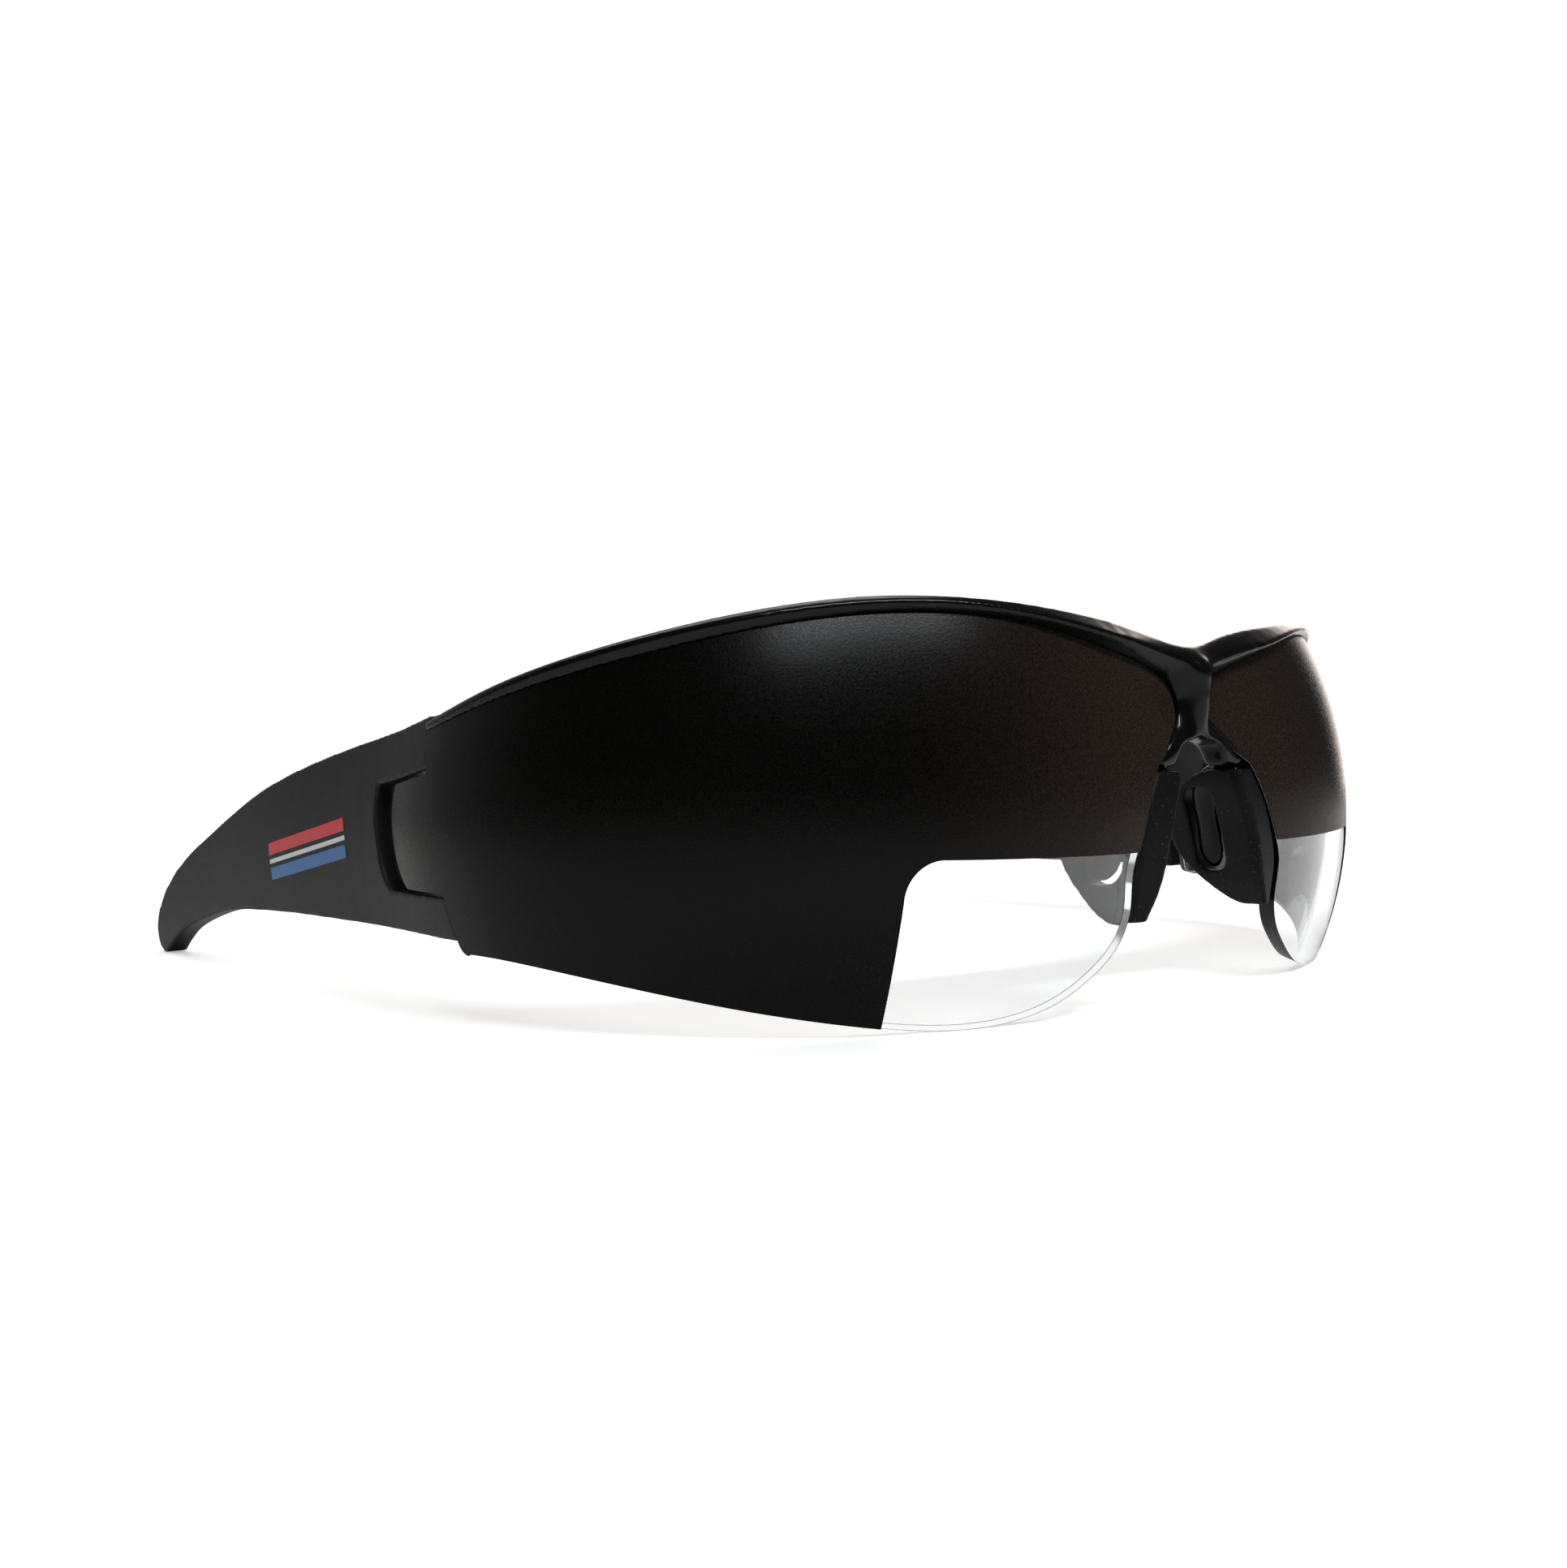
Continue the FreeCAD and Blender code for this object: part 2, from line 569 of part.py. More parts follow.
def pad_window():
    """Slot through the wing in which the carrier shows."""
    y, z = PAD_WINDOW_CENTRE
    half_y = PAD_WINDOW_WIDTH / 2
    half_z = PAD_WINDOW_HEIGHT / 2
    corners = [V(0, y - half_y, z - half_z), V(0, y + half_y, z - half_z),
               V(0, y + half_y, z + half_z), V(0, y - half_y, z + half_z)]
    wire = rounded_wire(corners, [half_y * 0.8] * 4)
    return Part.Face(wire).extrude(V(PAD_REACH, 0, 0))


# Temple

def temple_face_x(y):
    """Outer half width at the crown: on the lens sphere at first, then straight to the tip."""
    if y <= TEMPLE_STRAIGHT_Y:
        return lens_x(y, LENS_BULGE_HEIGHT)
    start = lens_x(TEMPLE_STRAIGHT_Y, LENS_BULGE_HEIGHT)
    share = (y - TEMPLE_STRAIGHT_Y) / (TEMPLE_STATIONS[-1][0] - TEMPLE_STRAIGHT_Y)
    return start + (TEMPLE_TIP_HALF_WIDTH - start) * share


def temple_band(outer_extra, thickness):
    """Crowned band along the temple; a fixed thickness replaces the stations' own when given."""
    wires = []
    for y, own_thickness, crown_z in TEMPLE_STATIONS:
        outer = temple_face_x(y) + outer_extra
        inner = temple_face_x(y) - (own_thickness if thickness is None else thickness)
        span = 26.0
        drop = TEMPLE_CROWN_RADIUS - math.sqrt(TEMPLE_CROWN_RADIUS ** 2 - span ** 2)
        top_outer = V(outer - drop, y, crown_z + span)
        low_outer = V(outer - drop, y, crown_z - span)
        top_inner = V(inner - drop, y, crown_z + span)
        low_inner = V(inner - drop, y, crown_z - span)
        edges = [arc(low_outer, V(outer, y, crown_z), top_outer), line(top_outer, top_inner),
                 arc(top_inner, V(inner, y, crown_z), low_inner), line(low_inner, low_outer)]
        wires.append(Part.Wire(edges))
    return smooth_loft(wires)


def temple_outline():
    front_top = V(0, seam_y(SEAM_TOP[1]) + SEAM_GAP, SEAM_TOP[1])
    front_low = V(0, seam_y(TEMPLE_FRONT_BOTTOM_Z) + SEAM_GAP, TEMPLE_FRONT_BOTTOM_Z)
    top = [front_top] + [V(0, y, z) for y, z in TEMPLE_TOP]
    tip = [V(0, y, z) for y, z in TEMPLE_TIP]
    heel = [V(0, y, z) for y, z in TEMPLE_HEEL]
    return [spline(top), arc(top[-1], tip[0], tip[1]), line(tip[1], heel[0]), spline(heel),
            line(heel[-1], front_low), line(front_low, front_top)]


def notch_prism():
    """Side view of the notch that the lens tongue lies in."""
    start = V(0, 50, NOTCH_TOP_Z)
    shoulder = V(0, seam_y(NOTCH_TOP_Z) + 1, NOTCH_TOP_Z)
    rear = [V(0, y, z) for y, z in NOTCH_REAR]
    end = V(0, 50, NOTCH_BOTTOM_Z)
    return prism([line(start, shoulder), line(shoulder, rear[0]), spline(rear), line(rear[-1], end),
                  line(end, start)], V(120, 0, 0))


def pocket_prism():
    """Side view of the opening right through the temple behind the tongue."""
    gap = TONGUE_END_GAP
    rear = [V(0, y + gap, z) for y, z in TONGUE_TIP]
    start = V(0, 50, TONGUE_TOP_Z + gap)
    end = V(0, 50, TONGUE_BOTTOM_Z - gap)
    first = V(0, rear[0].y - gap, rear[0].z + gap)
    last = V(0, rear[-1].y, end.z)
    return prism([line(start, first), line(first, rear[0]), spline(rear), line(rear[-1], last), line(last, end),
                  line(end, start)], V(120, 0, 0))


def make_temple():
    body = temple_band(0, None).common(prism(temple_outline(), V(120, 0, 0)))
    body = body.cut([pocket_prism(), notch_prism().common(temple_band(5, NOTCH_FLOOR_DEPTH))])
    tip_y = max(y for y, z in TONGUE_TIP)
    axis_x = hinge_axis_x()
    (low, high), lower, upper = knuckle_levels()
    clear_x = lens_x(tip_y, HINGE_MID_HEIGHT, LENS_INNER_RADIUS) - HINGE_SIDE_GAP
    barrel = Part.makeCylinder(HINGE_BARREL_RADIUS, high - low, V(axis_x, HINGE_Y, low))
    arm = polygon_prism([V(axis_x - HINGE_BARREL_RADIUS, HINGE_Y, low),
                         V(axis_x + HINGE_BARREL_RADIUS, HINGE_Y, low),
                         V(clear_x, tip_y, low),
                         V(clear_x, tip_y + 6, low),
                         V(axis_x - 0.5 * HINGE_BARREL_RADIUS, tip_y + 12, low),
                         V(axis_x - HINGE_BARREL_RADIUS, tip_y + 4, low)], V(0, 0, high - low))
    body = body.fuse([barrel, arm])
    return body.cut([hinge_bore(SCREW_RADIUS + SCREW_RUNNING_GAP), swing_relief()])


def swing_relief():
    """Wedge off the temple's inner front corner, which would meet the brow bar's end as it folds."""
    axis_x = hinge_axis_x()
    inside_x = axis_x - 2 * HINGE_BARREL_RADIUS
    front_y = SEAM_BOTTOM[0]
    edge_y = SEAM_TOP[0] + SEAM_GAP
    return polygon_prism([V(axis_x, front_y, SWING_RELIEF_Z),
                          V(axis_x, edge_y, SWING_RELIEF_Z),
                          V(inside_x, edge_y + HINGE_BARREL_RADIUS, SWING_RELIEF_Z),
                          V(inside_x, front_y, SWING_RELIEF_Z)], V(0, 0, SEAM_TOP[1] - SWING_RELIEF_Z + 1))


def true_box(shape):
    """Box round the faces themselves; the quick one also holds the poles of trimmed surfaces."""
    return shape.optimalBoundingBox(False, False)


def build():
    """Every piece of the glasses under its own name."""
    frame = make_frame()
    lens = make_lens()
    coat = make_coat(frame)
    pad = make_pad()
    temple = make_temple()
    screw = make_screw()
    pieces = {"frame_front": frame}
    halves = {"lens": lens, "mask": coat, "nose_pad": pad, "temple": temple, "hinge_screw": screw}
    for name, shape in halves.items():
        pieces[name + "_left"] = shape
        pieces[name + "_right"] = mirrored(shape)
    front_y = min(true_box(shape).YMin for shape in pieces.values())
    rear_y = max(true_box(shape).YMax for shape in pieces.values())
    floor_z = min(true_box(shape).ZMin for shape in pieces.values())
    for shape in pieces.values():
        shape.translate(V(0, -0.5 * (front_y + rear_y), -floor_z))
    return pieces


for name, shape in build().items():
    solids = shape.Solids
    box = true_box(shape)
    print(name, "solids", len(solids), "valid", shape.isValid(), "volume", round(shape.Volume, 1),
          "box", [round(v, 2) for v in (box.XMin, box.XMax, box.YMin, box.YMax, box.ZMin, box.ZMax)])
    shape.exportStep("parts/" + name + ".step")
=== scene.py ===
import math

import bmesh
import bpy
from mathutils import Matrix, Vector


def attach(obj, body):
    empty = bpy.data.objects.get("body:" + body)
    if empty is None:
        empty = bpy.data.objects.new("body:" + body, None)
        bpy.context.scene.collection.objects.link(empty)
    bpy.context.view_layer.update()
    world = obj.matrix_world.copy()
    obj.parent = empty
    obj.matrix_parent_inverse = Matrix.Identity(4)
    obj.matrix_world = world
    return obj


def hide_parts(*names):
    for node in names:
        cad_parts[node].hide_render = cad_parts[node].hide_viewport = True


bl_info = {
    "name": "View limiting training glasses",
    "version": (1, 0, 0),
    "blender": (4, 5, 0),
    "location": "3D View > Sidebar > Glasses",
    "description": "Dresses wraparound training glasses whose lenses are coated down to a low clear window",
    "category": "Object",
}

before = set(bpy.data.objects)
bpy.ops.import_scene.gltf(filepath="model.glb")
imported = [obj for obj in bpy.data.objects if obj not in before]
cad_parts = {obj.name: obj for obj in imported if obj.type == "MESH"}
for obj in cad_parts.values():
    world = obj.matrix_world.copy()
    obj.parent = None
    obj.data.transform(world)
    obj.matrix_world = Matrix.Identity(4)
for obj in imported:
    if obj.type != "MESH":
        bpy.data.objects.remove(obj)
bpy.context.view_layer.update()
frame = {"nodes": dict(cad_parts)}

MM = 0.001
SIDES = ("left", "right")

# The sphere that the left lens is cut from, which the right one mirrors
LENS_CENTRE = Vector((15.2, -22.97, 21.02)) * MM
LENS_RADIUS = 55.6 * MM
LENS_THICKNESS = 2.2 * MM

# A lens face whose cosine to the sphere's direction is under this is part of the cut edge
EDGE_FACING = 0.7

# Width of the painted shade along the corners of the cut edge, and how far from the middle the edge is
# painted black at the nose as shade
LENS_RIM = 0.17 * MM
NOSE_EDGE_INNER = 24 * MM
NOSE_EDGE_OUTER = 32 * MM

# The coat's back is lifted this far off the lens, and a painted warm reflection browns the coat more from
# the outer place to the inner
COAT_SEAT = 0.08 * MM
WARM_REFLECTION_OUTER = 45 * MM
WARM_REFLECTION_INNER = 8 * MM

# Moulded pieces: the voxels that even out their facets, and the passes that round their edges
FRAME_VOXEL = 0.27 * MM
PAD_VOXEL = 0.2 * MM
EDGE_PASSES = 4
PAD_PASSES = 10
BRIDGE_PASSES = 60
SMOOTH_FACTOR = 0.5

# The bridge is smoothed fully up to the inner place, and no more from the outer one on
BRIDGE_FLOW_INNER = 8 * MM
BRIDGE_FLOW_OUTER = 14 * MM

# Corners of a CAD copy nearer than the first are one, and faces thinner than the second go
WELD_DISTANCE = 0.002 * MM
SLIVER = 0.001 * MM

# Edges that turn more than this stay sharp
LENS_CORNER = math.radians(35)
SCREW_CORNER = math.radians(30)

# The temple's top edge arches between these places, most in the middle
ARCH_RISE = 2.3 * MM
ARCH_MIDDLE_Y = 30 * MM
ARCH_HALF_LENGTH = 48 * MM
ARCH_ROW = 0.5 * MM

# The printed stripes lie on the wearer's right temple, and slope with it
STRIPE_MIDDLE = Vector((0, 16.0, 18.6)) * MM
STRIPE_SLOPE = math.radians(-9)
STRIPE_THICKNESS = 0.09 * MM
STRIPE_COLUMNS = 81
STRIPE_ROWS = 5

# The rays that lay the stripes on the temple start this far outside it
RAY_START = 100 * MM

# Refractive indexes of the materials
NYLON_IOR = 1.53
POLYCARBONATE_IOR = 1.585
LACQUER_IOR = 1.45
RUBBER_IOR = 1.5

# A Mix node's sockets by number, because its numbers and its colours share their names
NUMBER_A = 2
NUMBER_B = 3
COLOUR_A = 6
COLOUR_B = 7
MIXED_COLOUR = 2

# The floor's half width, its share in gloss, and how its own light grows with distance, in metres
FLOOR_HALF = 3.0
GLOSSY_FLOOR_SHARE = 0.08
FLOOR_LIFT_NEAR = 0.44
FLOOR_LIFT_FROM = 0.12
FLOOR_LIFT_TO = 0.45

# The room that gloss sees: dim, and brighter where its direction points to the back
ROOM_DIM = 0.06
ROOM_BACK = 0.4
ROOM_BACK_FROM = 0.3
ROOM_BACK_TO = 0.95

# The softboxes, in metres and watts
SOFTBOXES = (
    {"name": "top_softbox", "place": (0.05, 0.25, 0.75), "aim": (0, 0, 0),
     "width": 0.7, "height": 0.5, "power": 3.2, "colour": (1, 1, 1)},
    {"name": "brow_strip", "place": (-0.15, -0.52, 0.69), "aim": (-0.04, -0.06, 0.04),
     "width": 0.65, "height": 0.04, "power": 5.0, "colour": (0.93, 0.97, 1.0)},
    {"name": "warm_card", "place": (0.75, 0.35, 0.25), "aim": (0.04, 0, 0.03),
     "width": 0.5, "height": 0.5, "power": 3.0, "colour": (1.0, 0.88, 0.82)},
)

# The photograph's viewpoint: place in metres, turn from the Y axis, tilt down and roll
CAMERA_PLACE = Vector((-0.14631, -0.17708, 0.02813))
CAMERA_HEADING = math.radians(39.78)
CAMERA_DIP = math.radians(0.66)
CAMERA_ROLL = math.radians(-1.50)
CAMERA_FOCAL_MM = 33.60
SENSOR_MM = 36.0
CLIP_START = 0.01


# Helpers

def linear(hex_colour):
    """Linear RGBA from an sRGB hex value such as "1a1a1c"."""
    channels = []
    for start in (0, 2, 4):
        value = int(hex_colour[start:start + 2], 16) / 255
        channels.append(value / 12.92 if value <= 0.04045 else ((value + 0.055) / 1.055) ** 2.4)
    return (*channels, 1.0)


def add_node(tree, kind, settings=None, links=None):
    """Add a node, set its properties, then give its inputs their values or links by name or number."""
    node = tree.nodes.new(kind)
    for name, value in (settings or {}).items():
        setattr(node, name, value)
    for key, value in (links or {}).items():
        if isinstance(value, bpy.types.NodeSocket):
            tree.links.new(value, node.inputs[key])
        else:
            node.inputs[key].default_value = value
    return node


def new_material(name):
    """A named material and its empty tree."""
    material = bpy.data.materials.new(name)
    material.use_nodes = True
    material.node_tree.nodes.clear()
    return material, material.node_tree


def toned(colour, share):
    """The colour made darker or lighter by a share."""
    return (colour[0] * share, colour[1] * share, colour[2] * share, 1.0)


def copy_of(node_name, name):
    """A merged copy of a CAD node's mesh as a new object at the origin."""
    mesh = frame["nodes"][node_name].data.copy()
    mesh.materials.clear()
    work = bmesh.new()
    work.from_mesh(mesh)
    bmesh.ops.remove_doubles(work, verts=work.verts, dist=WELD_DISTANCE)
    bmesh.ops.dissolve_degenerate(work, edges=work.edges, dist=SLIVER)
    work.to_mesh(mesh)
    work.free()
    piece = bpy.data.objects.new(name, mesh)
    bpy.context.scene.collection.objects.link(piece)
    return piece


def plain_mesh(piece):
    """Turn what the modifiers give into the piece's own mesh."""
    bpy.context.view_layer.update()
    finished = piece.evaluated_get(bpy.context.evaluated_depsgraph_get())
    mesh = bpy.data.meshes.new_from_object(finished)
    piece.modifiers.clear()
    piece.data = mesh


def soften(piece, passes, group_name=""):
    """Add smoothing over the whole piece, or over one group of its vertices."""
    smooth = piece.modifiers.new("Smooth", "SMOOTH")
    smooth.factor = SMOOTH_FACTOR
    smooth.iterations = passes
    smooth.vertex_group = group_name


def remould(piece, voxel, passes):
    """Even out a CAD copy's facets and round its edges, as a mould does."""
    remesh = piece.modifiers.new("Remesh", "REMESH")
    remesh.mode = "VOXEL"
    remesh.voxel_size = voxel
    soften(piece, passes)
    plain_mesh(piece)
    for face in piece.data.polygons:
        face.use_smooth = True


def flow_bridge(piece, passes):
    """Let the bridge's planes flow into each other, fading out where the brow begins."""
    group = piece.vertex_groups.new(name="bridge")
    fade = BRIDGE_FLOW_OUTER - BRIDGE_FLOW_INNER
    for vertex in piece.data.vertices:
        outward = (abs(vertex.co.x) - BRIDGE_FLOW_INNER) / fade
        weight = 1 - min(1, max(0, outward))
        if weight > 0:
            group.add([vertex.index], weight, "REPLACE")
    soften(piece, passes, group.name)
    plain_mesh(piece)
    piece.vertex_groups.clear()


def arch_temple(piece):
    """Raise the temple's top edge into one long arch, and leave its lower edge where it is."""
    edges = {}
    for vertex in piece.data.vertices:
        row = round(vertex.co.y / ARCH_ROW)
        low, high = edges.get(row, (vertex.co.z, vertex.co.z))
        edges[row] = (min(low, vertex.co.z), max(high, vertex.co.z))
    for vertex in piece.data.vertices:
        low, high = edges[round(vertex.co.y / ARCH_ROW)]
        along = (vertex.co.y - ARCH_MIDDLE_Y) / ARCH_HALF_LENGTH
        if abs(along) < 1:
            rise = ARCH_RISE * math.cos(along * math.pi / 2) ** 2
            vertex.co.z += rise * (vertex.co.z - low) / max(high - low, ARCH_ROW)


def smooth_by_angle(piece, corner):
    """Smooth shading that keeps the edges which turn more than a corner's angle."""
    work = bmesh.new()
    work.from_mesh(piece.data)
    for face in work.faces:
        face.smooth = True
    for edge in work.edges:
        edge.smooth = len(edge.link_faces) == 2 and edge.calc_face_angle(0.0) < corner
    work.to_mesh(piece.data)
    work.free()


def settle(piece, node_name, body, material):
    """Put a finished piece in the place of its CAD node."""
    piece.data.materials.append(material)
    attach(piece, body)
    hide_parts(node_name)


# Sizes and colours that a user would change

class GlassesSizes(bpy.types.PropertyGroup):
    """Sizes of the finish and of the trim."""

    temple_grain: bpy.props.FloatProperty(
        name="Temple Grain", description="Spacing of the moulded grain, coarser than real so that it shows",
        default=0.35 * MM, subtype="DISTANCE", unit="LENGTH")
    coat_grain: bpy.props.FloatProperty(
        name="Coat Grain", description="Spacing of the coat's droplets, coarser than real so that they show",
        default=0.22 * MM, subtype="DISTANCE", unit="LENGTH")
    stripe_length: bpy.props.FloatProperty(
        name="Stripe Length", description="Length of the stripes on the temple",
        default=25 * MM, subtype="DISTANCE", unit="LENGTH")
    stripe_width: bpy.props.FloatProperty(
        name="Stripe Width", description="Width of the red stripe and of the blue one",
        default=1.7 * MM, subtype="DISTANCE", unit="LENGTH")
    pinstripe_width: bpy.props.FloatProperty(
        name="Pinstripe Width", description="Width of the white line between them",
        default=0.6 * MM, subtype="DISTANCE", unit="LENGTH")
    stripe_gap: bpy.props.FloatProperty(
        name="Stripe Gap", description="Bare plastic between two stripes",
        default=0.6 * MM, subtype="DISTANCE", unit="LENGTH")


class GlassesColours(bpy.types.PropertyGroup):
    """Colours of the materials."""

    frame: bpy.props.FloatVectorProperty(
        name="Frame", description="Gloss black of the brow bar",
        subtype="COLOR", size=4, default=linear("070707"))
    temple: bpy.props.FloatVectorProperty(
        name="Temple", description="Matte grey black of the temples",
        subtype="COLOR", size=4, default=linear("111112"))
    coat: bpy.props.FloatVectorProperty(
        name="Coat", description="Opaque coat on the lenses",
        subtype="COLOR", size=4, default=linear("070605"))
    rubber: bpy.props.FloatVectorProperty(
        name="Rubber", description="Black of the nose pads",
        subtype="COLOR", size=4, default=linear("0a0a0a"))
    # Colour of the painted warm reflection that browns the coat towards the nose
    painted_warm_reflection: bpy.props.FloatVectorProperty(
        name="Painted Warm Reflection", description="Painted warm reflection that browns the coat towards the nose",
        subtype="COLOR", size=4, default=linear("29201c"))
    stripe_red: bpy.props.FloatVectorProperty(
        name="Red Stripe", description="Top stripe on the temple",
        subtype="COLOR", size=4, default=linear("d8343b"))
    stripe_white: bpy.props.FloatVectorProperty(
        name="White Stripe", description="Middle stripe on the temple",
        subtype="COLOR", size=4, default=linear("e6e6e6"))
    stripe_blue: bpy.props.FloatVectorProperty(
        name="Blue Stripe", description="Bottom stripe on the temple",
        subtype="COLOR", size=4, default=linear("2f6fae"))


def sizes():
    """The sizes that this scene holds."""
    return bpy.context.scene.glasses_sizes


def colours():
    """The colours that this scene holds."""
    return bpy.context.scene.glasses_colours


# Materials

def gloss_nylon():
    """Injection moulded nylon from a polished mould: a deep black with soft, slightly wavy reflections."""
    wave_spacing = 4 * MM
    wave_depth = 0.02 * MM
    material, tree = new_material("polished_moulded_nylon")
    point = add_node(tree, "ShaderNodeTexCoord").outputs["Object"]
    waves = add_node(tree, "ShaderNodeTexNoise",
                     links={"Vector": point, "Scale": 1 / wave_spacing, "Detail": 2.0})
    relief = add_node(tree, "ShaderNodeBump",
                      links={"Height": waves.outputs["Fac"], "Distance": wave_depth, "Strength": 0.3})
    surface = add_node(tree, "ShaderNodeBsdfPrincipled",
                       links={"Base Color": colours().frame, "Roughness": 0.2, "IOR": NYLON_IOR,
                              "Specular IOR Level": 0.2, "Normal": relief.outputs[0]})
    add_node(tree, "ShaderNodeOutputMaterial", links={"Surface": surface.outputs[0]})
    return material


def grained_nylon():
    """Moulded nylon with a fine spark eroded grain: matte, with a soft sheen at a low angle.

    The real grain is about 0.1 mm, and is drawn coarser so that it shows.
    """
    patch_spacing = 14 * MM
    grain_depth = 0.06 * MM
    pore_share = 0.6
    # The grain's pits are painted darker and its crests lighter, as painted shade and light; broad patches
    # also vary the tone at random
    pit_tone = toned(colours().temple, 0.7)
    crest_tone = toned(colours().temple, 1.4)
    material, tree = new_material("grained_moulded_nylon")
    point = add_node(tree, "ShaderNodeTexCoord").outputs["Object"]
    pores = add_node(tree, "ShaderNodeTexNoise",
                     links={"Vector": point, "Scale": 1 / sizes().temple_grain, "Detail": 3.0})
    patches = add_node(tree, "ShaderNodeTexNoise",
                       links={"Vector": point, "Scale": 1 / patch_spacing, "Detail": 2.0})
    mixed = add_node(tree, "ShaderNodeMath", {"operation": "MULTIPLY_ADD"},
                     {0: pores.outputs["Fac"], 1: pore_share, 2: patches.outputs["Fac"]})
    share = add_node(tree, "ShaderNodeMapRange",
                     links={"Value": mixed.outputs[0], "From Min": 0.6, "From Max": 1.0})
    tone = add_node(tree, "ShaderNodeMix", {"data_type": "RGBA"},
                    {"Factor": share.outputs[0], COLOUR_A: pit_tone, COLOUR_B: crest_tone})
    relief = add_node(tree, "ShaderNodeBump",
                      links={"Height": pores.outputs["Fac"], "Distance": grain_depth, "Strength": 0.5})
    surface = add_node(tree, "ShaderNodeBsdfPrincipled",
                       links={"Base Color": tone.outputs[MIXED_COLOUR], "Roughness": 0.5,
                              "IOR": NYLON_IOR, "Specular IOR Level": 0.2,
                              "Normal": relief.outputs[0]})
    add_node(tree, "ShaderNodeOutputMaterial", links={"Surface": surface.outputs[0]})
    return material


def clear_polycarbonate():
    """Optical polycarbonate, moulded and polished: clear, with sharp reflections."""
    material, tree = new_material("clear_polycarbonate")
    surface = add_node(tree, "ShaderNodeBsdfPrincipled",
                       links={"Base Color": linear("fafcfc"), "Roughness": 0.01,
                              "IOR": POLYCARBONATE_IOR, "Transmission Weight": 1.0})
    add_node(tree, "ShaderNodeOutputMaterial", links={"Surface": surface.outputs[0]})
    return material


def polished_edge(centre):
    """Cut and polished polycarbonate: clear, with painted shade along its two corners.

    At the nose its outside is painted black, as the shade that the bridge casts on the lens's edge there.
    """
    material, tree = new_material("polycarbonate_edge_and_painted_shade")
    point = add_node(tree, "ShaderNodeTexCoord").outputs["Object"]
    from_centre = add_node(tree, "ShaderNodeVectorMath", {"operation": "SUBTRACT"},
                           {0: point, 1: centre})
    radius = add_node(tree, "ShaderNodeVectorMath", {"operation": "LENGTH"},
                      {0: from_centre.outputs[0]})
    depth = add_node(tree, "ShaderNodeMath", {"operation": "SUBTRACT"},
                     {0: radius.outputs["Value"], 1: LENS_RADIUS - LENS_THICKNESS / 2})
    off_middle = add_node(tree, "ShaderNodeMath", {"operation": "ABSOLUTE"}, {0: depth.outputs[0]})
    # The edge's two corners get painted shade
    rim_shade = add_node(tree, "ShaderNodeMath", {"operation": "GREATER_THAN"},
                   {0: off_middle.outputs[0], 1: LENS_THICKNESS / 2 - LENS_RIM})
    # At the nose the outside of the edge is painted black: painted shade from the bridge
    place = add_node(tree, "ShaderNodeSeparateXYZ", links={"Vector": point})
    sideways = add_node(tree, "ShaderNodeMath", {"operation": "ABSOLUTE"}, {0: place.outputs["X"]})
    nose = add_node(tree, "ShaderNodeMapRange",
                    links={"Value": sideways.outputs[0],
                           "From Min": NOSE_EDGE_OUTER, "From Max": NOSE_EDGE_INNER})
    inside = add_node(tree, "ShaderNodeNewGeometry").outputs["Backfacing"]
    outside = add_node(tree, "ShaderNodeMath", {"operation": "SUBTRACT"}, {0: 1.0, 1: inside})
    strip = add_node(tree, "ShaderNodeMath", {"operation": "MULTIPLY"},
                     {0: nose.outputs[0], 1: outside.outputs[0]})
    share = add_node(tree, "ShaderNodeMath", {"operation": "MAXIMUM"},
                     {0: rim_shade.outputs[0], 1: strip.outputs[0]})
    clear = add_node(tree, "ShaderNodeBsdfPrincipled",
                     links={"Base Color": linear("f4f6f6"), "Roughness": 0.1,
                            "IOR": POLYCARBONATE_IOR, "Transmission Weight": 1.0})
    # The painted shade: an opaque, near black polycarbonate
    dark = add_node(tree, "ShaderNodeBsdfPrincipled",
                    links={"Base Color": linear("0a0b0b"), "Roughness": 0.3,
                           "IOR": POLYCARBONATE_IOR, "Specular IOR Level": 0.2})
    surface = add_node(tree, "ShaderNodeMixShader",
                       links={0: share.outputs[0], 1: clear.outputs[0], 2: dark.outputs[0]})
    add_node(tree, "ShaderNodeOutputMaterial", links={"Surface": surface.outputs[0]})
    return material


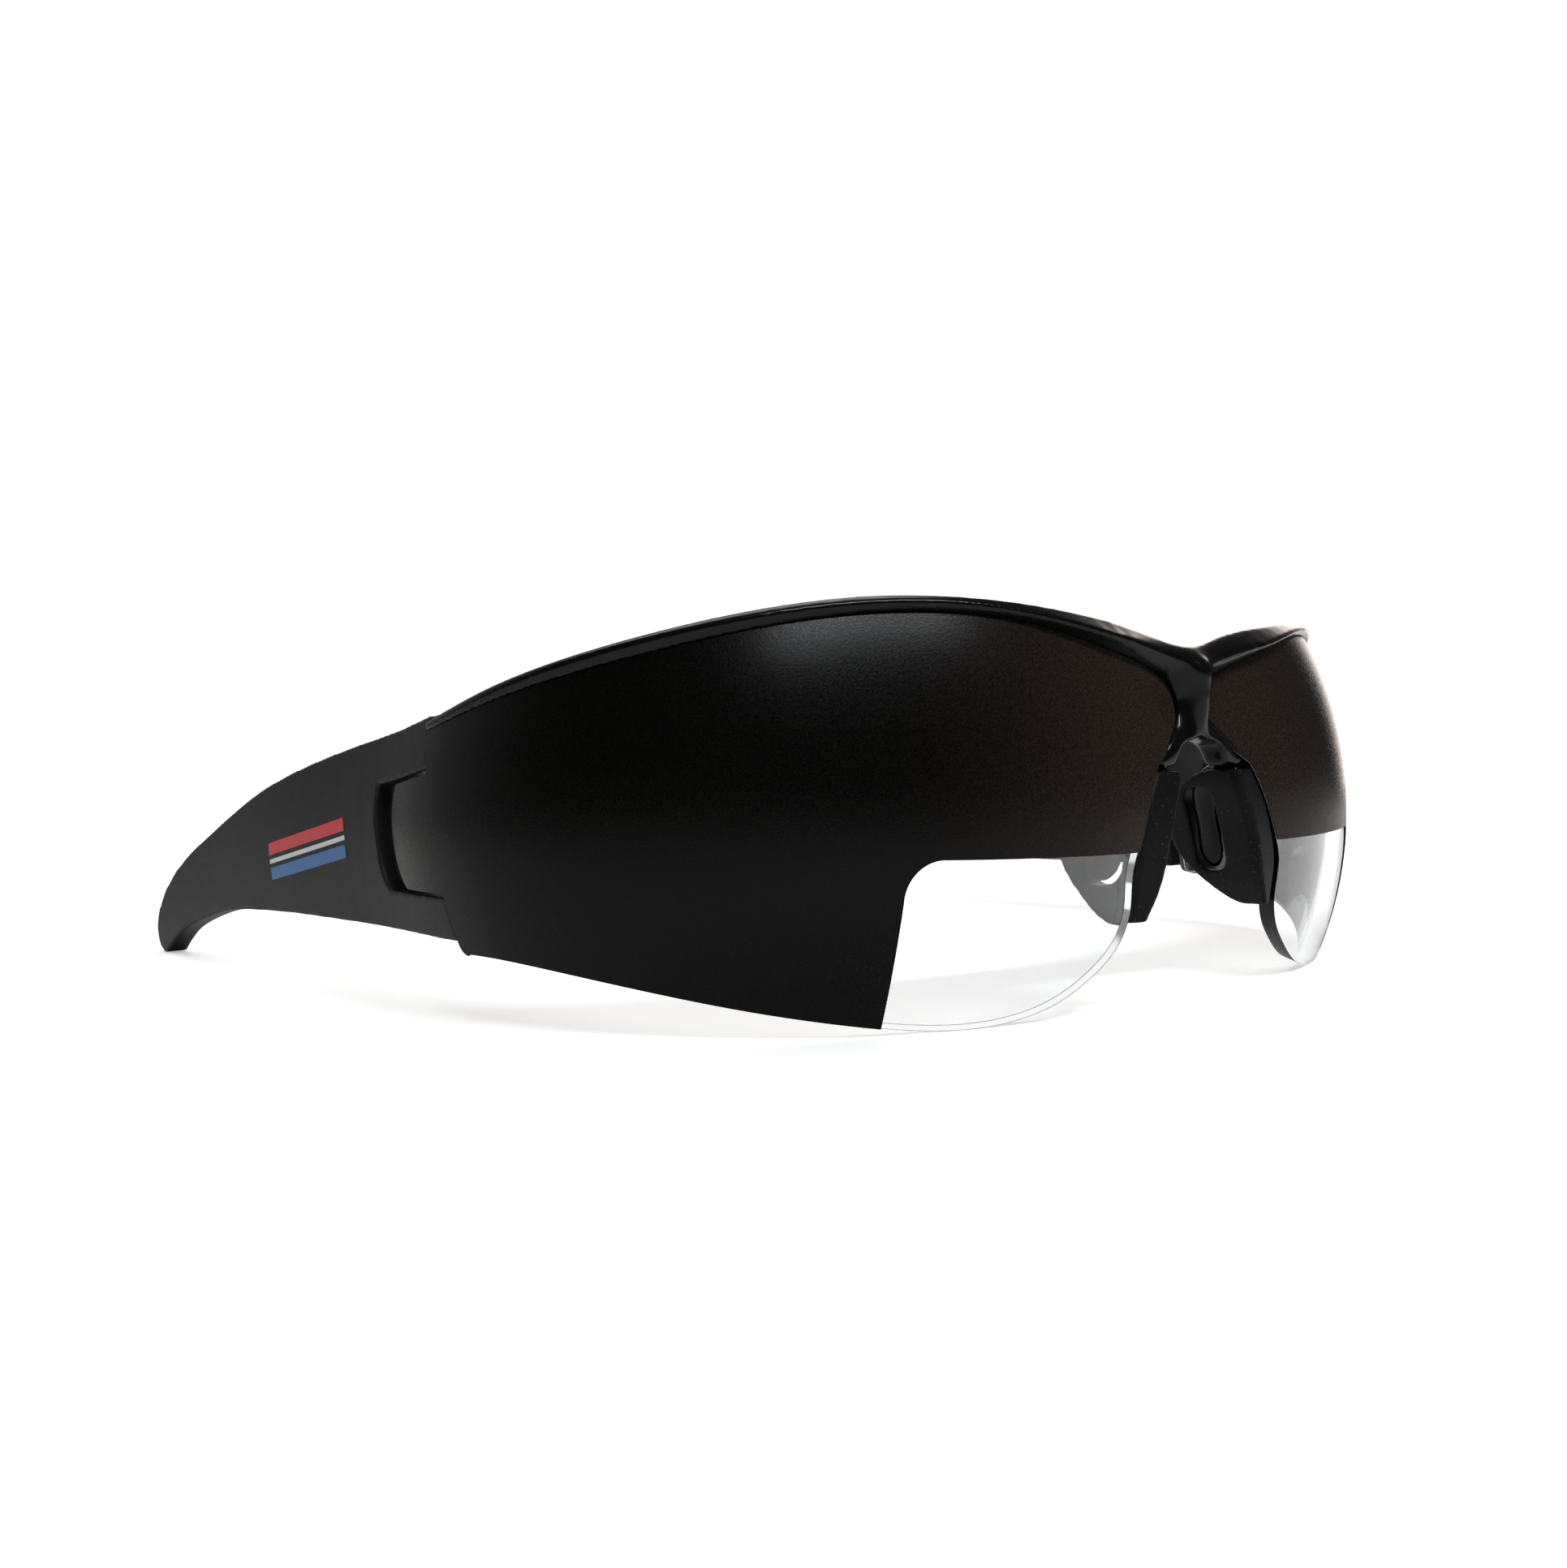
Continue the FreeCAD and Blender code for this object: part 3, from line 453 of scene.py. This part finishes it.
def sprayed_coat():
    """Sprayed opaque lacquer: a black film that sparkles a little, with painted light on its droplets and a
    painted warm reflection that browns it towards the nose.

    The real droplets are about 0.1 mm, and are drawn coarser so that they show.
    """
    droplet_depth = 0.03 * MM
    material, tree = new_material("sprayed_opaque_lacquer")
    point = add_node(tree, "ShaderNodeTexCoord").outputs["Object"]
    droplets = add_node(tree, "ShaderNodeTexNoise",
                        links={"Vector": point, "Scale": 1 / sizes().coat_grain, "Detail": 2.0})
    place = add_node(tree, "ShaderNodeSeparateXYZ", links={"Vector": point})
    sideways = add_node(tree, "ShaderNodeMath", {"operation": "ABSOLUTE"}, {0: place.outputs["X"]})
    # The coat is painted browner towards the nose: a painted warm reflection
    warm_reflection_share = add_node(tree, "ShaderNodeMapRange", {"interpolation_type": "SMOOTHSTEP"},
                        {"Value": sideways.outputs[0],
                         "From Min": WARM_REFLECTION_OUTER, "From Max": WARM_REFLECTION_INNER})
    film = add_node(tree, "ShaderNodeMix", {"data_type": "RGBA"},
                    {"Factor": warm_reflection_share.outputs[0],
                     COLOUR_A: colours().coat, COLOUR_B: colours().painted_warm_reflection})
    # The droplets are painted lighter on their tops and darker between them: painted light and shade
    droplet_light_and_shade = add_node(tree, "ShaderNodeMapRange",
                   links={"Value": droplets.outputs["Fac"], "From Min": 0.35, "From Max": 0.75,
                          "To Min": 0.6, "To Max": 1.6})
    tone = add_node(tree, "ShaderNodeVectorMath", {"operation": "SCALE"},
                    {0: film.outputs[MIXED_COLOUR], "Scale": droplet_light_and_shade.outputs[0]})
    shine = add_node(tree, "ShaderNodeMapRange",
                     links={"Value": droplets.outputs["Fac"], "From Min": 0.3, "From Max": 0.7,
                            "To Min": 0.22, "To Max": 0.34})
    relief = add_node(tree, "ShaderNodeBump",
                      links={"Height": droplets.outputs["Fac"], "Distance": droplet_depth,
                             "Strength": 0.5})
    surface = add_node(tree, "ShaderNodeBsdfPrincipled",
                       links={"Base Color": tone.outputs[0], "Roughness": shine.outputs[0],
                              "IOR": LACQUER_IOR, "Specular IOR Level": 0.14,
                              "Normal": relief.outputs[0]})
    add_node(tree, "ShaderNodeOutputMaterial", links={"Surface": surface.outputs[0]})
    return material


def pad_rubber():
    """Moulded thermoplastic rubber: soft grey black with a dry bloom and specks of dust.

    The specks are drawn larger than real so that they show.
    """
    bloom_spacing = 2.5 * MM
    dust_spacing = 0.3 * MM
    dust_depth = 0.04 * MM
    dust_colour = linear("6c6c6e")
    worn_tone = toned(colours().rubber, 0.6)
    bloomed_tone = toned(colours().rubber, 1.8)
    material, tree = new_material("moulded_rubber")
    point = add_node(tree, "ShaderNodeTexCoord").outputs["Object"]
    bloom = add_node(tree, "ShaderNodeTexNoise",
                     links={"Vector": point, "Scale": 1 / bloom_spacing, "Detail": 4.0})
    dust = add_node(tree, "ShaderNodeTexNoise",
                    links={"Vector": point, "Scale": 1 / dust_spacing, "Detail": 2.0})
    skin = add_node(tree, "ShaderNodeMix", {"data_type": "RGBA"},
                    {"Factor": bloom.outputs["Fac"], COLOUR_A: worn_tone, COLOUR_B: bloomed_tone})
    specks = add_node(tree, "ShaderNodeMapRange",
                      links={"Value": dust.outputs["Fac"], "From Min": 0.68, "From Max": 0.74,
                             "To Max": 0.5})
    tone = add_node(tree, "ShaderNodeMix", {"data_type": "RGBA"},
                    {"Factor": specks.outputs[0],
                     COLOUR_A: skin.outputs[MIXED_COLOUR], COLOUR_B: dust_colour})
    relief = add_node(tree, "ShaderNodeBump",
                      links={"Height": dust.outputs["Fac"], "Distance": dust_depth, "Strength": 0.4})
    surface = add_node(tree, "ShaderNodeBsdfPrincipled",
                       links={"Base Color": tone.outputs[MIXED_COLOUR], "Roughness": 0.5,
                              "IOR": RUBBER_IOR, "Specular IOR Level": 0.14,
                              "Normal": relief.outputs[0]})
    add_node(tree, "ShaderNodeOutputMaterial", links={"Surface": surface.outputs[0]})
    return material


def turned_steel():
    """Turned stainless steel: rings round the screw's axis, drawn coarser than real, stretch its shine."""
    ring_spacing = 0.4 * MM
    ring_depth = 0.01 * MM
    material, tree = new_material("turned_stainless_steel")
    point = add_node(tree, "ShaderNodeTexCoord").outputs["Object"]
    rings = add_node(tree, "ShaderNodeTexWave", {"wave_type": "RINGS", "rings_direction": "Z"},
                     {"Vector": point, "Scale": 1 / ring_spacing, "Distortion": 0.6})
    relief = add_node(tree, "ShaderNodeBump",
                      links={"Height": rings.outputs["Fac"], "Distance": ring_depth, "Strength": 0.3})
    surface = add_node(tree, "ShaderNodeBsdfPrincipled",
                       links={"Base Color": linear("a9a9ac"), "Metallic": 1.0, "Roughness": 0.32,
                              "Normal": relief.outputs[0]})
    add_node(tree, "ShaderNodeOutputMaterial", links={"Surface": surface.outputs[0]})
    return material


def printed_ink(name, colour):
    """Pad printed ink: a thin satin film that shows the plastic's grain."""
    grain_depth = 0.03 * MM
    # The ink is painted darker in the grain's pits and lighter on its crests: painted shade and light
    pit_tone = toned(colour, 0.75)
    crest_tone = toned(colour, 1.1)
    material, tree = new_material(name)
    point = add_node(tree, "ShaderNodeTexCoord").outputs["Object"]
    pores = add_node(tree, "ShaderNodeTexNoise",
                     links={"Vector": point, "Scale": 1 / sizes().temple_grain, "Detail": 3.0})
    tone = add_node(tree, "ShaderNodeMix", {"data_type": "RGBA"},
                    {"Factor": pores.outputs["Fac"], COLOUR_A: pit_tone, COLOUR_B: crest_tone})
    relief = add_node(tree, "ShaderNodeBump",
                      links={"Height": pores.outputs["Fac"], "Distance": grain_depth, "Strength": 0.4})
    surface = add_node(tree, "ShaderNodeBsdfPrincipled",
                       links={"Base Color": tone.outputs[MIXED_COLOUR], "Roughness": 0.45,
                              "Normal": relief.outputs[0]})
    add_node(tree, "ShaderNodeOutputMaterial", links={"Surface": surface.outputs[0]})
    return material


def seamless_paper():
    """Seamless background paper: matte white that keeps the object's shadow."""
    tooth_spacing = 0.6 * MM
    material, tree = new_material("seamless_white_paper")
    point = add_node(tree, "ShaderNodeTexCoord").outputs["Object"]
    tooth = add_node(tree, "ShaderNodeTexNoise",
                     links={"Vector": point, "Scale": 1 / tooth_spacing, "Detail": 2.0})
    tone = add_node(tree, "ShaderNodeMix", {"data_type": "RGBA"},
                    {"Factor": tooth.outputs["Fac"],
                     COLOUR_A: linear("e8e7e5"), COLOUR_B: linear("edecea")})
    paper = add_node(tree, "ShaderNodeBsdfPrincipled",
                     links={"Base Color": tone.outputs[MIXED_COLOUR], "Roughness": 0.9})
    rays = add_node(tree, "ShaderNodeLightPath")
    direct = add_node(tree, "ShaderNodeMath", {"operation": "MAXIMUM"},
                      {0: rays.outputs["Is Camera Ray"], 1: rays.outputs["Is Transmission Ray"]})
    faint = add_node(tree, "ShaderNodeMath", {"operation": "MULTIPLY"},
                     {0: rays.outputs["Is Glossy Ray"], 1: GLOSSY_FLOOR_SHARE})
    seen = add_node(tree, "ShaderNodeMath", {"operation": "MAXIMUM"},
                    {0: direct.outputs[0], 1: faint.outputs[0]})
    away = add_node(tree, "ShaderNodeVectorMath", {"operation": "LENGTH"}, {0: point})
    far = add_node(tree, "ShaderNodeMapRange", {"interpolation_type": "SMOOTHSTEP"},
                   {"Value": away.outputs["Value"],
                    "From Min": FLOOR_LIFT_FROM, "From Max": FLOOR_LIFT_TO})
    lift = add_node(tree, "ShaderNodeMapRange",
                    links={"Value": far.outputs[0], "To Min": FLOOR_LIFT_NEAR, "To Max": 1.0})
    level = add_node(tree, "ShaderNodeMath", {"operation": "MULTIPLY"},
                     {0: seen.outputs[0], 1: lift.outputs[0]})
    glow = add_node(tree, "ShaderNodeEmission",
                    links={"Color": (1, 1, 1, 1), "Strength": level.outputs[0]})
    both = add_node(tree, "ShaderNodeAddShader", links={0: paper.outputs[0], 1: glow.outputs[0]})
    add_node(tree, "ShaderNodeOutputMaterial", links={"Surface": both.outputs[0]})
    return material


# Pieces

class GLASSES_OT_add_front(bpy.types.Operator):
    """Add the brow bar with its bridge, legs and hinge lugs"""

    bl_idname = "glasses.add_front"
    bl_label = "Add Front"

    def execute(self, context):
        piece = copy_of("frame_front", "front_moulding")
        remould(piece, FRAME_VOXEL, EDGE_PASSES)
        flow_bridge(piece, BRIDGE_PASSES)
        settle(piece, "frame_front", "front", gloss_nylon())
        return {"FINISHED"}


def lens_centre(side):
    """The middle of the sphere that a side's lens is cut from."""
    sideways = -LENS_CENTRE.x if side == "right" else LENS_CENTRE.x
    return Vector((sideways, LENS_CENTRE.y, LENS_CENTRE.z))


def polish_lens(piece, centre):
    """Shade both faces of the lens as true spheres, and give its cut edge the edge material."""
    mesh = piece.data
    normals = [corner.vector.copy() for corner in mesh.corner_normals]
    for face in mesh.polygons:
        outward = (face.center - centre).normalized()
        facing = face.normal.dot(outward)
        face.material_index = int(abs(facing) < EDGE_FACING)
        if face.material_index == 0:
            turn = math.copysign(1, facing)
            for corner in face.loop_indices:
                place = mesh.vertices[mesh.loops[corner].vertex_index].co
                normals[corner] = (place - centre).normalized() * turn
    mesh.normals_split_custom_set(normals)


class GLASSES_OT_add_lenses(bpy.types.Operator):
    """Add the two clear lenses"""

    bl_idname = "glasses.add_lenses"
    bl_label = "Add Lenses"

    def execute(self, context):
        material = clear_polycarbonate()
        for side in SIDES:
            centre = lens_centre(side)
            piece = copy_of("lens_" + side, "clear_lens_" + side)
            smooth_by_angle(piece, LENS_CORNER)
            settle(piece, "lens_" + side, "front", material)
            piece.data.materials.append(polished_edge(centre))
            polish_lens(piece, centre)
        return {"FINISHED"}


def seat_coat(piece, centre):
    """Lift the coat's back a little off the lens, so that the facets of the two never cross."""
    back_radius = LENS_RADIUS + COAT_SEAT
    for vertex in piece.data.vertices:
        outward = vertex.co - centre
        if outward.length < back_radius:
            vertex.co = centre + outward.normalized() * back_radius


class GLASSES_OT_add_coats(bpy.types.Operator):
    """Add the opaque coat on each lens"""

    bl_idname = "glasses.add_coats"
    bl_label = "Add Coats"

    def execute(self, context):
        material = sprayed_coat()
        for side in SIDES:
            piece = copy_of("mask_" + side, "opaque_coat_" + side)
            seat_coat(piece, lens_centre(side))
            smooth_by_angle(piece, LENS_CORNER)
            settle(piece, "mask_" + side, "front", material)
        return {"FINISHED"}


class GLASSES_OT_add_pads(bpy.types.Operator):
    """Add the two rubber nose pads"""

    bl_idname = "glasses.add_pads"
    bl_label = "Add Nose Pads"

    def execute(self, context):
        material = pad_rubber()
        for side in SIDES:
            piece = copy_of("nose_pad_" + side, "rubber_pad_" + side)
            remould(piece, PAD_VOXEL, PAD_PASSES)
            settle(piece, "nose_pad_" + side, "front", material)
        return {"FINISHED"}


class GLASSES_OT_add_temples(bpy.types.Operator):
    """Add the two folding temples"""

    bl_idname = "glasses.add_temples"
    bl_label = "Add Temples"

    def execute(self, context):
        material = grained_nylon()
        for side in SIDES:
            piece = copy_of("temple_" + side, "temple_arm_" + side)
            remould(piece, FRAME_VOXEL, EDGE_PASSES)
            arch_temple(piece)
            settle(piece, "temple_" + side, side + "_temple", material)
        return {"FINISHED"}


def stripe_tree():
    """A flat strip laid on the outside of the wearer's right temple, then given its ink's thickness."""
    tree = bpy.data.node_groups.new("printed_stripe", "GeometryNodeTree")
    kinds = {"Temple": "NodeSocketObject", "Length": "NodeSocketFloat", "Width": "NodeSocketFloat",
             "Thickness": "NodeSocketFloat", "Middle": "NodeSocketVector", "Slope": "NodeSocketFloat",
             "Ink": "NodeSocketMaterial"}
    sockets = {}
    for name, kind in kinds.items():
        socket = tree.interface.new_socket(name, in_out="INPUT", socket_type=kind)
        sockets[name] = socket.identifier
    tree.interface.new_socket("Stripe", in_out="OUTPUT", socket_type="NodeSocketGeometry")
    inputs = add_node(tree, "NodeGroupInput").outputs
    strip = add_node(tree, "GeometryNodeMeshGrid",
                     links={"Size X": inputs["Length"], "Size Y": inputs["Width"],
                            "Vertices X": STRIPE_COLUMNS, "Vertices Y": STRIPE_ROWS})
    flat = add_node(tree, "GeometryNodeInputPosition").outputs[0]
    place = add_node(tree, "ShaderNodeSeparateXYZ", links={0: flat})
    upright = add_node(tree, "ShaderNodeCombineXYZ",
                       links={"Y": place.outputs["X"], "Z": place.outputs["Y"]})
    tilted = add_node(tree, "ShaderNodeVectorRotate", {"rotation_type": "X_AXIS"},
                      {"Vector": upright.outputs[0], "Angle": inputs["Slope"]})
    moved = add_node(tree, "ShaderNodeVectorMath", {"operation": "ADD"},
                     {0: tilted.outputs[0], 1: inputs["Middle"]})
    outside = add_node(tree, "ShaderNodeVectorMath", {"operation": "ADD"},
                       {0: moved.outputs[0], 1: (-RAY_START, 0, 0)})
    temple = add_node(tree, "GeometryNodeObjectInfo", links={"Object": inputs["Temple"]})
    hit = add_node(tree, "GeometryNodeRaycast",
                   links={"Target Geometry": temple.outputs["Geometry"],
                          "Source Position": outside.outputs[0],
                          "Ray Direction": (1, 0, 0), "Ray Length": 2 * RAY_START})
    laid = add_node(tree, "GeometryNodeSetPosition",
                    links={"Geometry": strip.outputs["Mesh"], "Position": hit.outputs["Hit Position"]})
    outward = add_node(tree, "GeometryNodeFlipFaces", links={"Mesh": laid.outputs[0]})
    raised = add_node(tree, "GeometryNodeExtrudeMesh",
                      links={"Mesh": outward.outputs[0], "Offset Scale": inputs["Thickness"],
                             "Individual": False})
    joined = add_node(tree, "GeometryNodeJoinGeometry")
    tree.links.new(raised.outputs["Mesh"], joined.inputs[0])
    tree.links.new(laid.outputs[0], joined.inputs[0])
    merged = add_node(tree, "GeometryNodeMergeByDistance",
                      links={"Geometry": joined.outputs[0], "Distance": SLIVER})
    real = add_node(tree, "GeometryNodeRealizeInstances", links={"Geometry": merged.outputs[0]})
    inked = add_node(tree, "GeometryNodeSetMaterial",
                     links={"Geometry": real.outputs[0], "Material": inputs["Ink"]})
    add_node(tree, "NodeGroupOutput", links={0: inked.outputs[0]})
    return tree, sockets


class GLASSES_OT_add_stripes(bpy.types.Operator):
    """Add the three printed stripes on the wearer's right temple"""

    bl_idname = "glasses.add_stripes"
    bl_label = "Add Printed Stripes"

    def execute(self, context):
        tree, sockets = stripe_tree()
        size = sizes()
        upward = Vector((0, -math.sin(STRIPE_SLOPE), math.cos(STRIPE_SLOPE)))
        rise = size.stripe_gap + size.pinstripe_width / 2 + size.stripe_width / 2
        inks = (("red", colours().stripe_red, size.stripe_width, rise),
                ("white", colours().stripe_white, size.pinstripe_width, 0),
                ("blue", colours().stripe_blue, size.stripe_width, -rise))
        for name, colour, width, height in inks:
            piece = bpy.data.objects.new("stripe_" + name, bpy.data.meshes.new("stripe_" + name))
            context.scene.collection.objects.link(piece)
            values = {"Temple": bpy.data.objects["temple_arm_right"], "Length": size.stripe_length,
                      "Width": width, "Thickness": STRIPE_THICKNESS,
                      "Middle": STRIPE_MIDDLE + upward * height, "Slope": STRIPE_SLOPE,
                      "Ink": printed_ink("printed_" + name + "_ink", colour)}
            modifier = piece.modifiers.new("Stripe", "NODES")
            modifier.node_group = tree
            for key, value in values.items():
                modifier[sockets[key]] = value
            plain_mesh(piece)
            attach(piece, "right_temple")
        return {"FINISHED"}


class GLASSES_OT_add_screws(bpy.types.Operator):
    """Add the slotted hinge screws"""

    bl_idname = "glasses.add_screws"
    bl_label = "Add Hinge Screws"

    def execute(self, context):
        material = turned_steel()
        for side in SIDES:
            piece = copy_of("hinge_screw_" + side, "slotted_screw_" + side)
            smooth_by_angle(piece, SCREW_CORNER)
            settle(piece, "hinge_screw_" + side, "front", material)
        return {"FINISHED"}


# Camera, lights and floor

def add_camera():
    """The photograph's viewpoint, level with the lenses and in front of the wearer's right."""
    ahead = Vector((math.sin(CAMERA_HEADING) * math.cos(CAMERA_DIP),
                    math.cos(CAMERA_HEADING) * math.cos(CAMERA_DIP),
                    -math.sin(CAMERA_DIP)))
    level = Vector((math.cos(CAMERA_HEADING), -math.sin(CAMERA_HEADING), 0))
    upright = level.cross(ahead)
    right = level * math.cos(CAMERA_ROLL) + upright * math.sin(CAMERA_ROLL)
    up = upright * math.cos(CAMERA_ROLL) - level * math.sin(CAMERA_ROLL)
    data = bpy.data.cameras.new("camera")
    data.sensor_fit = "HORIZONTAL"
    data.sensor_width = SENSOR_MM
    data.lens = CAMERA_FOCAL_MM
    data.clip_start = CLIP_START
    camera = bpy.data.objects.new("camera", data)
    turn = Matrix((right, up, -ahead)).transposed().to_4x4()
    camera.matrix_world = Matrix.Translation(CAMERA_PLACE) @ turn
    bpy.context.scene.collection.objects.link(camera)
    bpy.context.scene.camera = camera


def add_softbox(name, place, aim, width, height, power, colour):
    """A rectangular softbox that only lights: the camera doesn't see it."""
    data = bpy.data.lights.new(name, "AREA")
    data.color = colour
    data.shape = "RECTANGLE"
    data.size = width
    data.size_y = height
    data.energy = power
    lamp = bpy.data.objects.new(name, data)
    lamp.location = place
    lamp.rotation_euler = (Vector(aim) - Vector(place)).to_track_quat("-Z", "Y").to_euler()
    lamp.visible_camera = False
    lamp.visible_transmission = False
    bpy.context.scene.collection.objects.link(lamp)


def add_world():
    """A white surround for the camera. Gloss sees a dim room whose back is brighter."""
    world = bpy.data.worlds.new("soft_room")
    world.use_nodes = True
    tree = world.node_tree
    tree.nodes.clear()
    rays = add_node(tree, "ShaderNodeLightPath")
    seen = add_node(tree, "ShaderNodeMath", {"operation": "MAXIMUM"},
                    {0: rays.outputs["Is Camera Ray"], 1: rays.outputs["Is Transmission Ray"]})
    direction = add_node(tree, "ShaderNodeTexCoord").outputs["Generated"]
    heading = add_node(tree, "ShaderNodeSeparateXYZ", links={0: direction})
    backward = add_node(tree, "ShaderNodeMapRange", {"interpolation_type": "SMOOTHSTEP"},
                        {"Value": heading.outputs["Y"],
                         "From Min": ROOM_BACK_FROM, "From Max": ROOM_BACK_TO,
                         "To Min": ROOM_DIM, "To Max": ROOM_BACK})
    level = add_node(tree, "ShaderNodeMix",
                     links={"Factor": seen.outputs[0], NUMBER_A: backward.outputs[0], NUMBER_B: 1.0})
    sky = add_node(tree, "ShaderNodeBackground",
                   links={"Color": (1, 1, 1, 1), "Strength": level.outputs[0]})
    add_node(tree, "ShaderNodeOutputWorld", links={"Surface": sky.outputs[0]})
    bpy.context.scene.world = world


def add_floor():
    """A sheet of paper far wider than the view."""
    mesh = bpy.data.meshes.new("floor")
    corners = [(-FLOOR_HALF, -FLOOR_HALF, 0), (FLOOR_HALF, -FLOOR_HALF, 0),
               (FLOOR_HALF, FLOOR_HALF, 0), (-FLOOR_HALF, FLOOR_HALF, 0)]
    mesh.from_pydata(corners, [], [(0, 1, 2, 3)])
    mesh.materials.append(seamless_paper())
    floor = bpy.data.objects.new("floor", mesh)
    bpy.context.scene.collection.objects.link(floor)


class GLASSES_OT_add_stage(bpy.types.Operator):
    """Add the floor, the soft lights and the camera"""

    bl_idname = "glasses.add_stage"
    bl_label = "Add Stage"

    def execute(self, context):
        add_floor()
        add_world()
        for softbox in SOFTBOXES:
            add_softbox(**softbox)
        add_camera()
        context.scene.view_settings.view_transform = "Standard"
        return {"FINISHED"}


class GLASSES_PT_pieces(bpy.types.Panel):
    """Lists the sizes, the colours and the operators that build the glasses"""

    bl_idname = "GLASSES_PT_pieces"
    bl_label = "Training Glasses"
    bl_space_type = "VIEW_3D"
    bl_region_type = "UI"
    bl_category = "Glasses"

    def draw(self, context):
        layout = self.layout
        for group in (context.scene.glasses_sizes, context.scene.glasses_colours):
            for name in group.__annotations__:
                layout.prop(group, name)
        for operator in OPERATORS:
            layout.operator(operator.bl_idname)


OPERATORS = (
    GLASSES_OT_add_front,
    GLASSES_OT_add_lenses,
    GLASSES_OT_add_coats,
    GLASSES_OT_add_pads,
    GLASSES_OT_add_temples,
    GLASSES_OT_add_stripes,
    GLASSES_OT_add_screws,
    GLASSES_OT_add_stage,
)
CLASSES = (GlassesSizes, GlassesColours, *OPERATORS, GLASSES_PT_pieces)


def register():
    for item in CLASSES:
        bpy.utils.register_class(item)
    bpy.types.Scene.glasses_sizes = bpy.props.PointerProperty(type=GlassesSizes)
    bpy.types.Scene.glasses_colours = bpy.props.PointerProperty(type=GlassesColours)


def unregister():
    del bpy.types.Scene.glasses_colours
    del bpy.types.Scene.glasses_sizes
    for item in reversed(CLASSES):
        bpy.utils.unregister_class(item)


def main():
    """Build every piece."""
    register()
    bpy.ops.glasses.add_front()
    bpy.ops.glasses.add_lenses()
    bpy.ops.glasses.add_coats()
    bpy.ops.glasses.add_pads()
    bpy.ops.glasses.add_temples()
    bpy.ops.glasses.add_stripes()
    bpy.ops.glasses.add_screws()
    bpy.ops.glasses.add_stage()


if __name__ == "__main__":
    main()
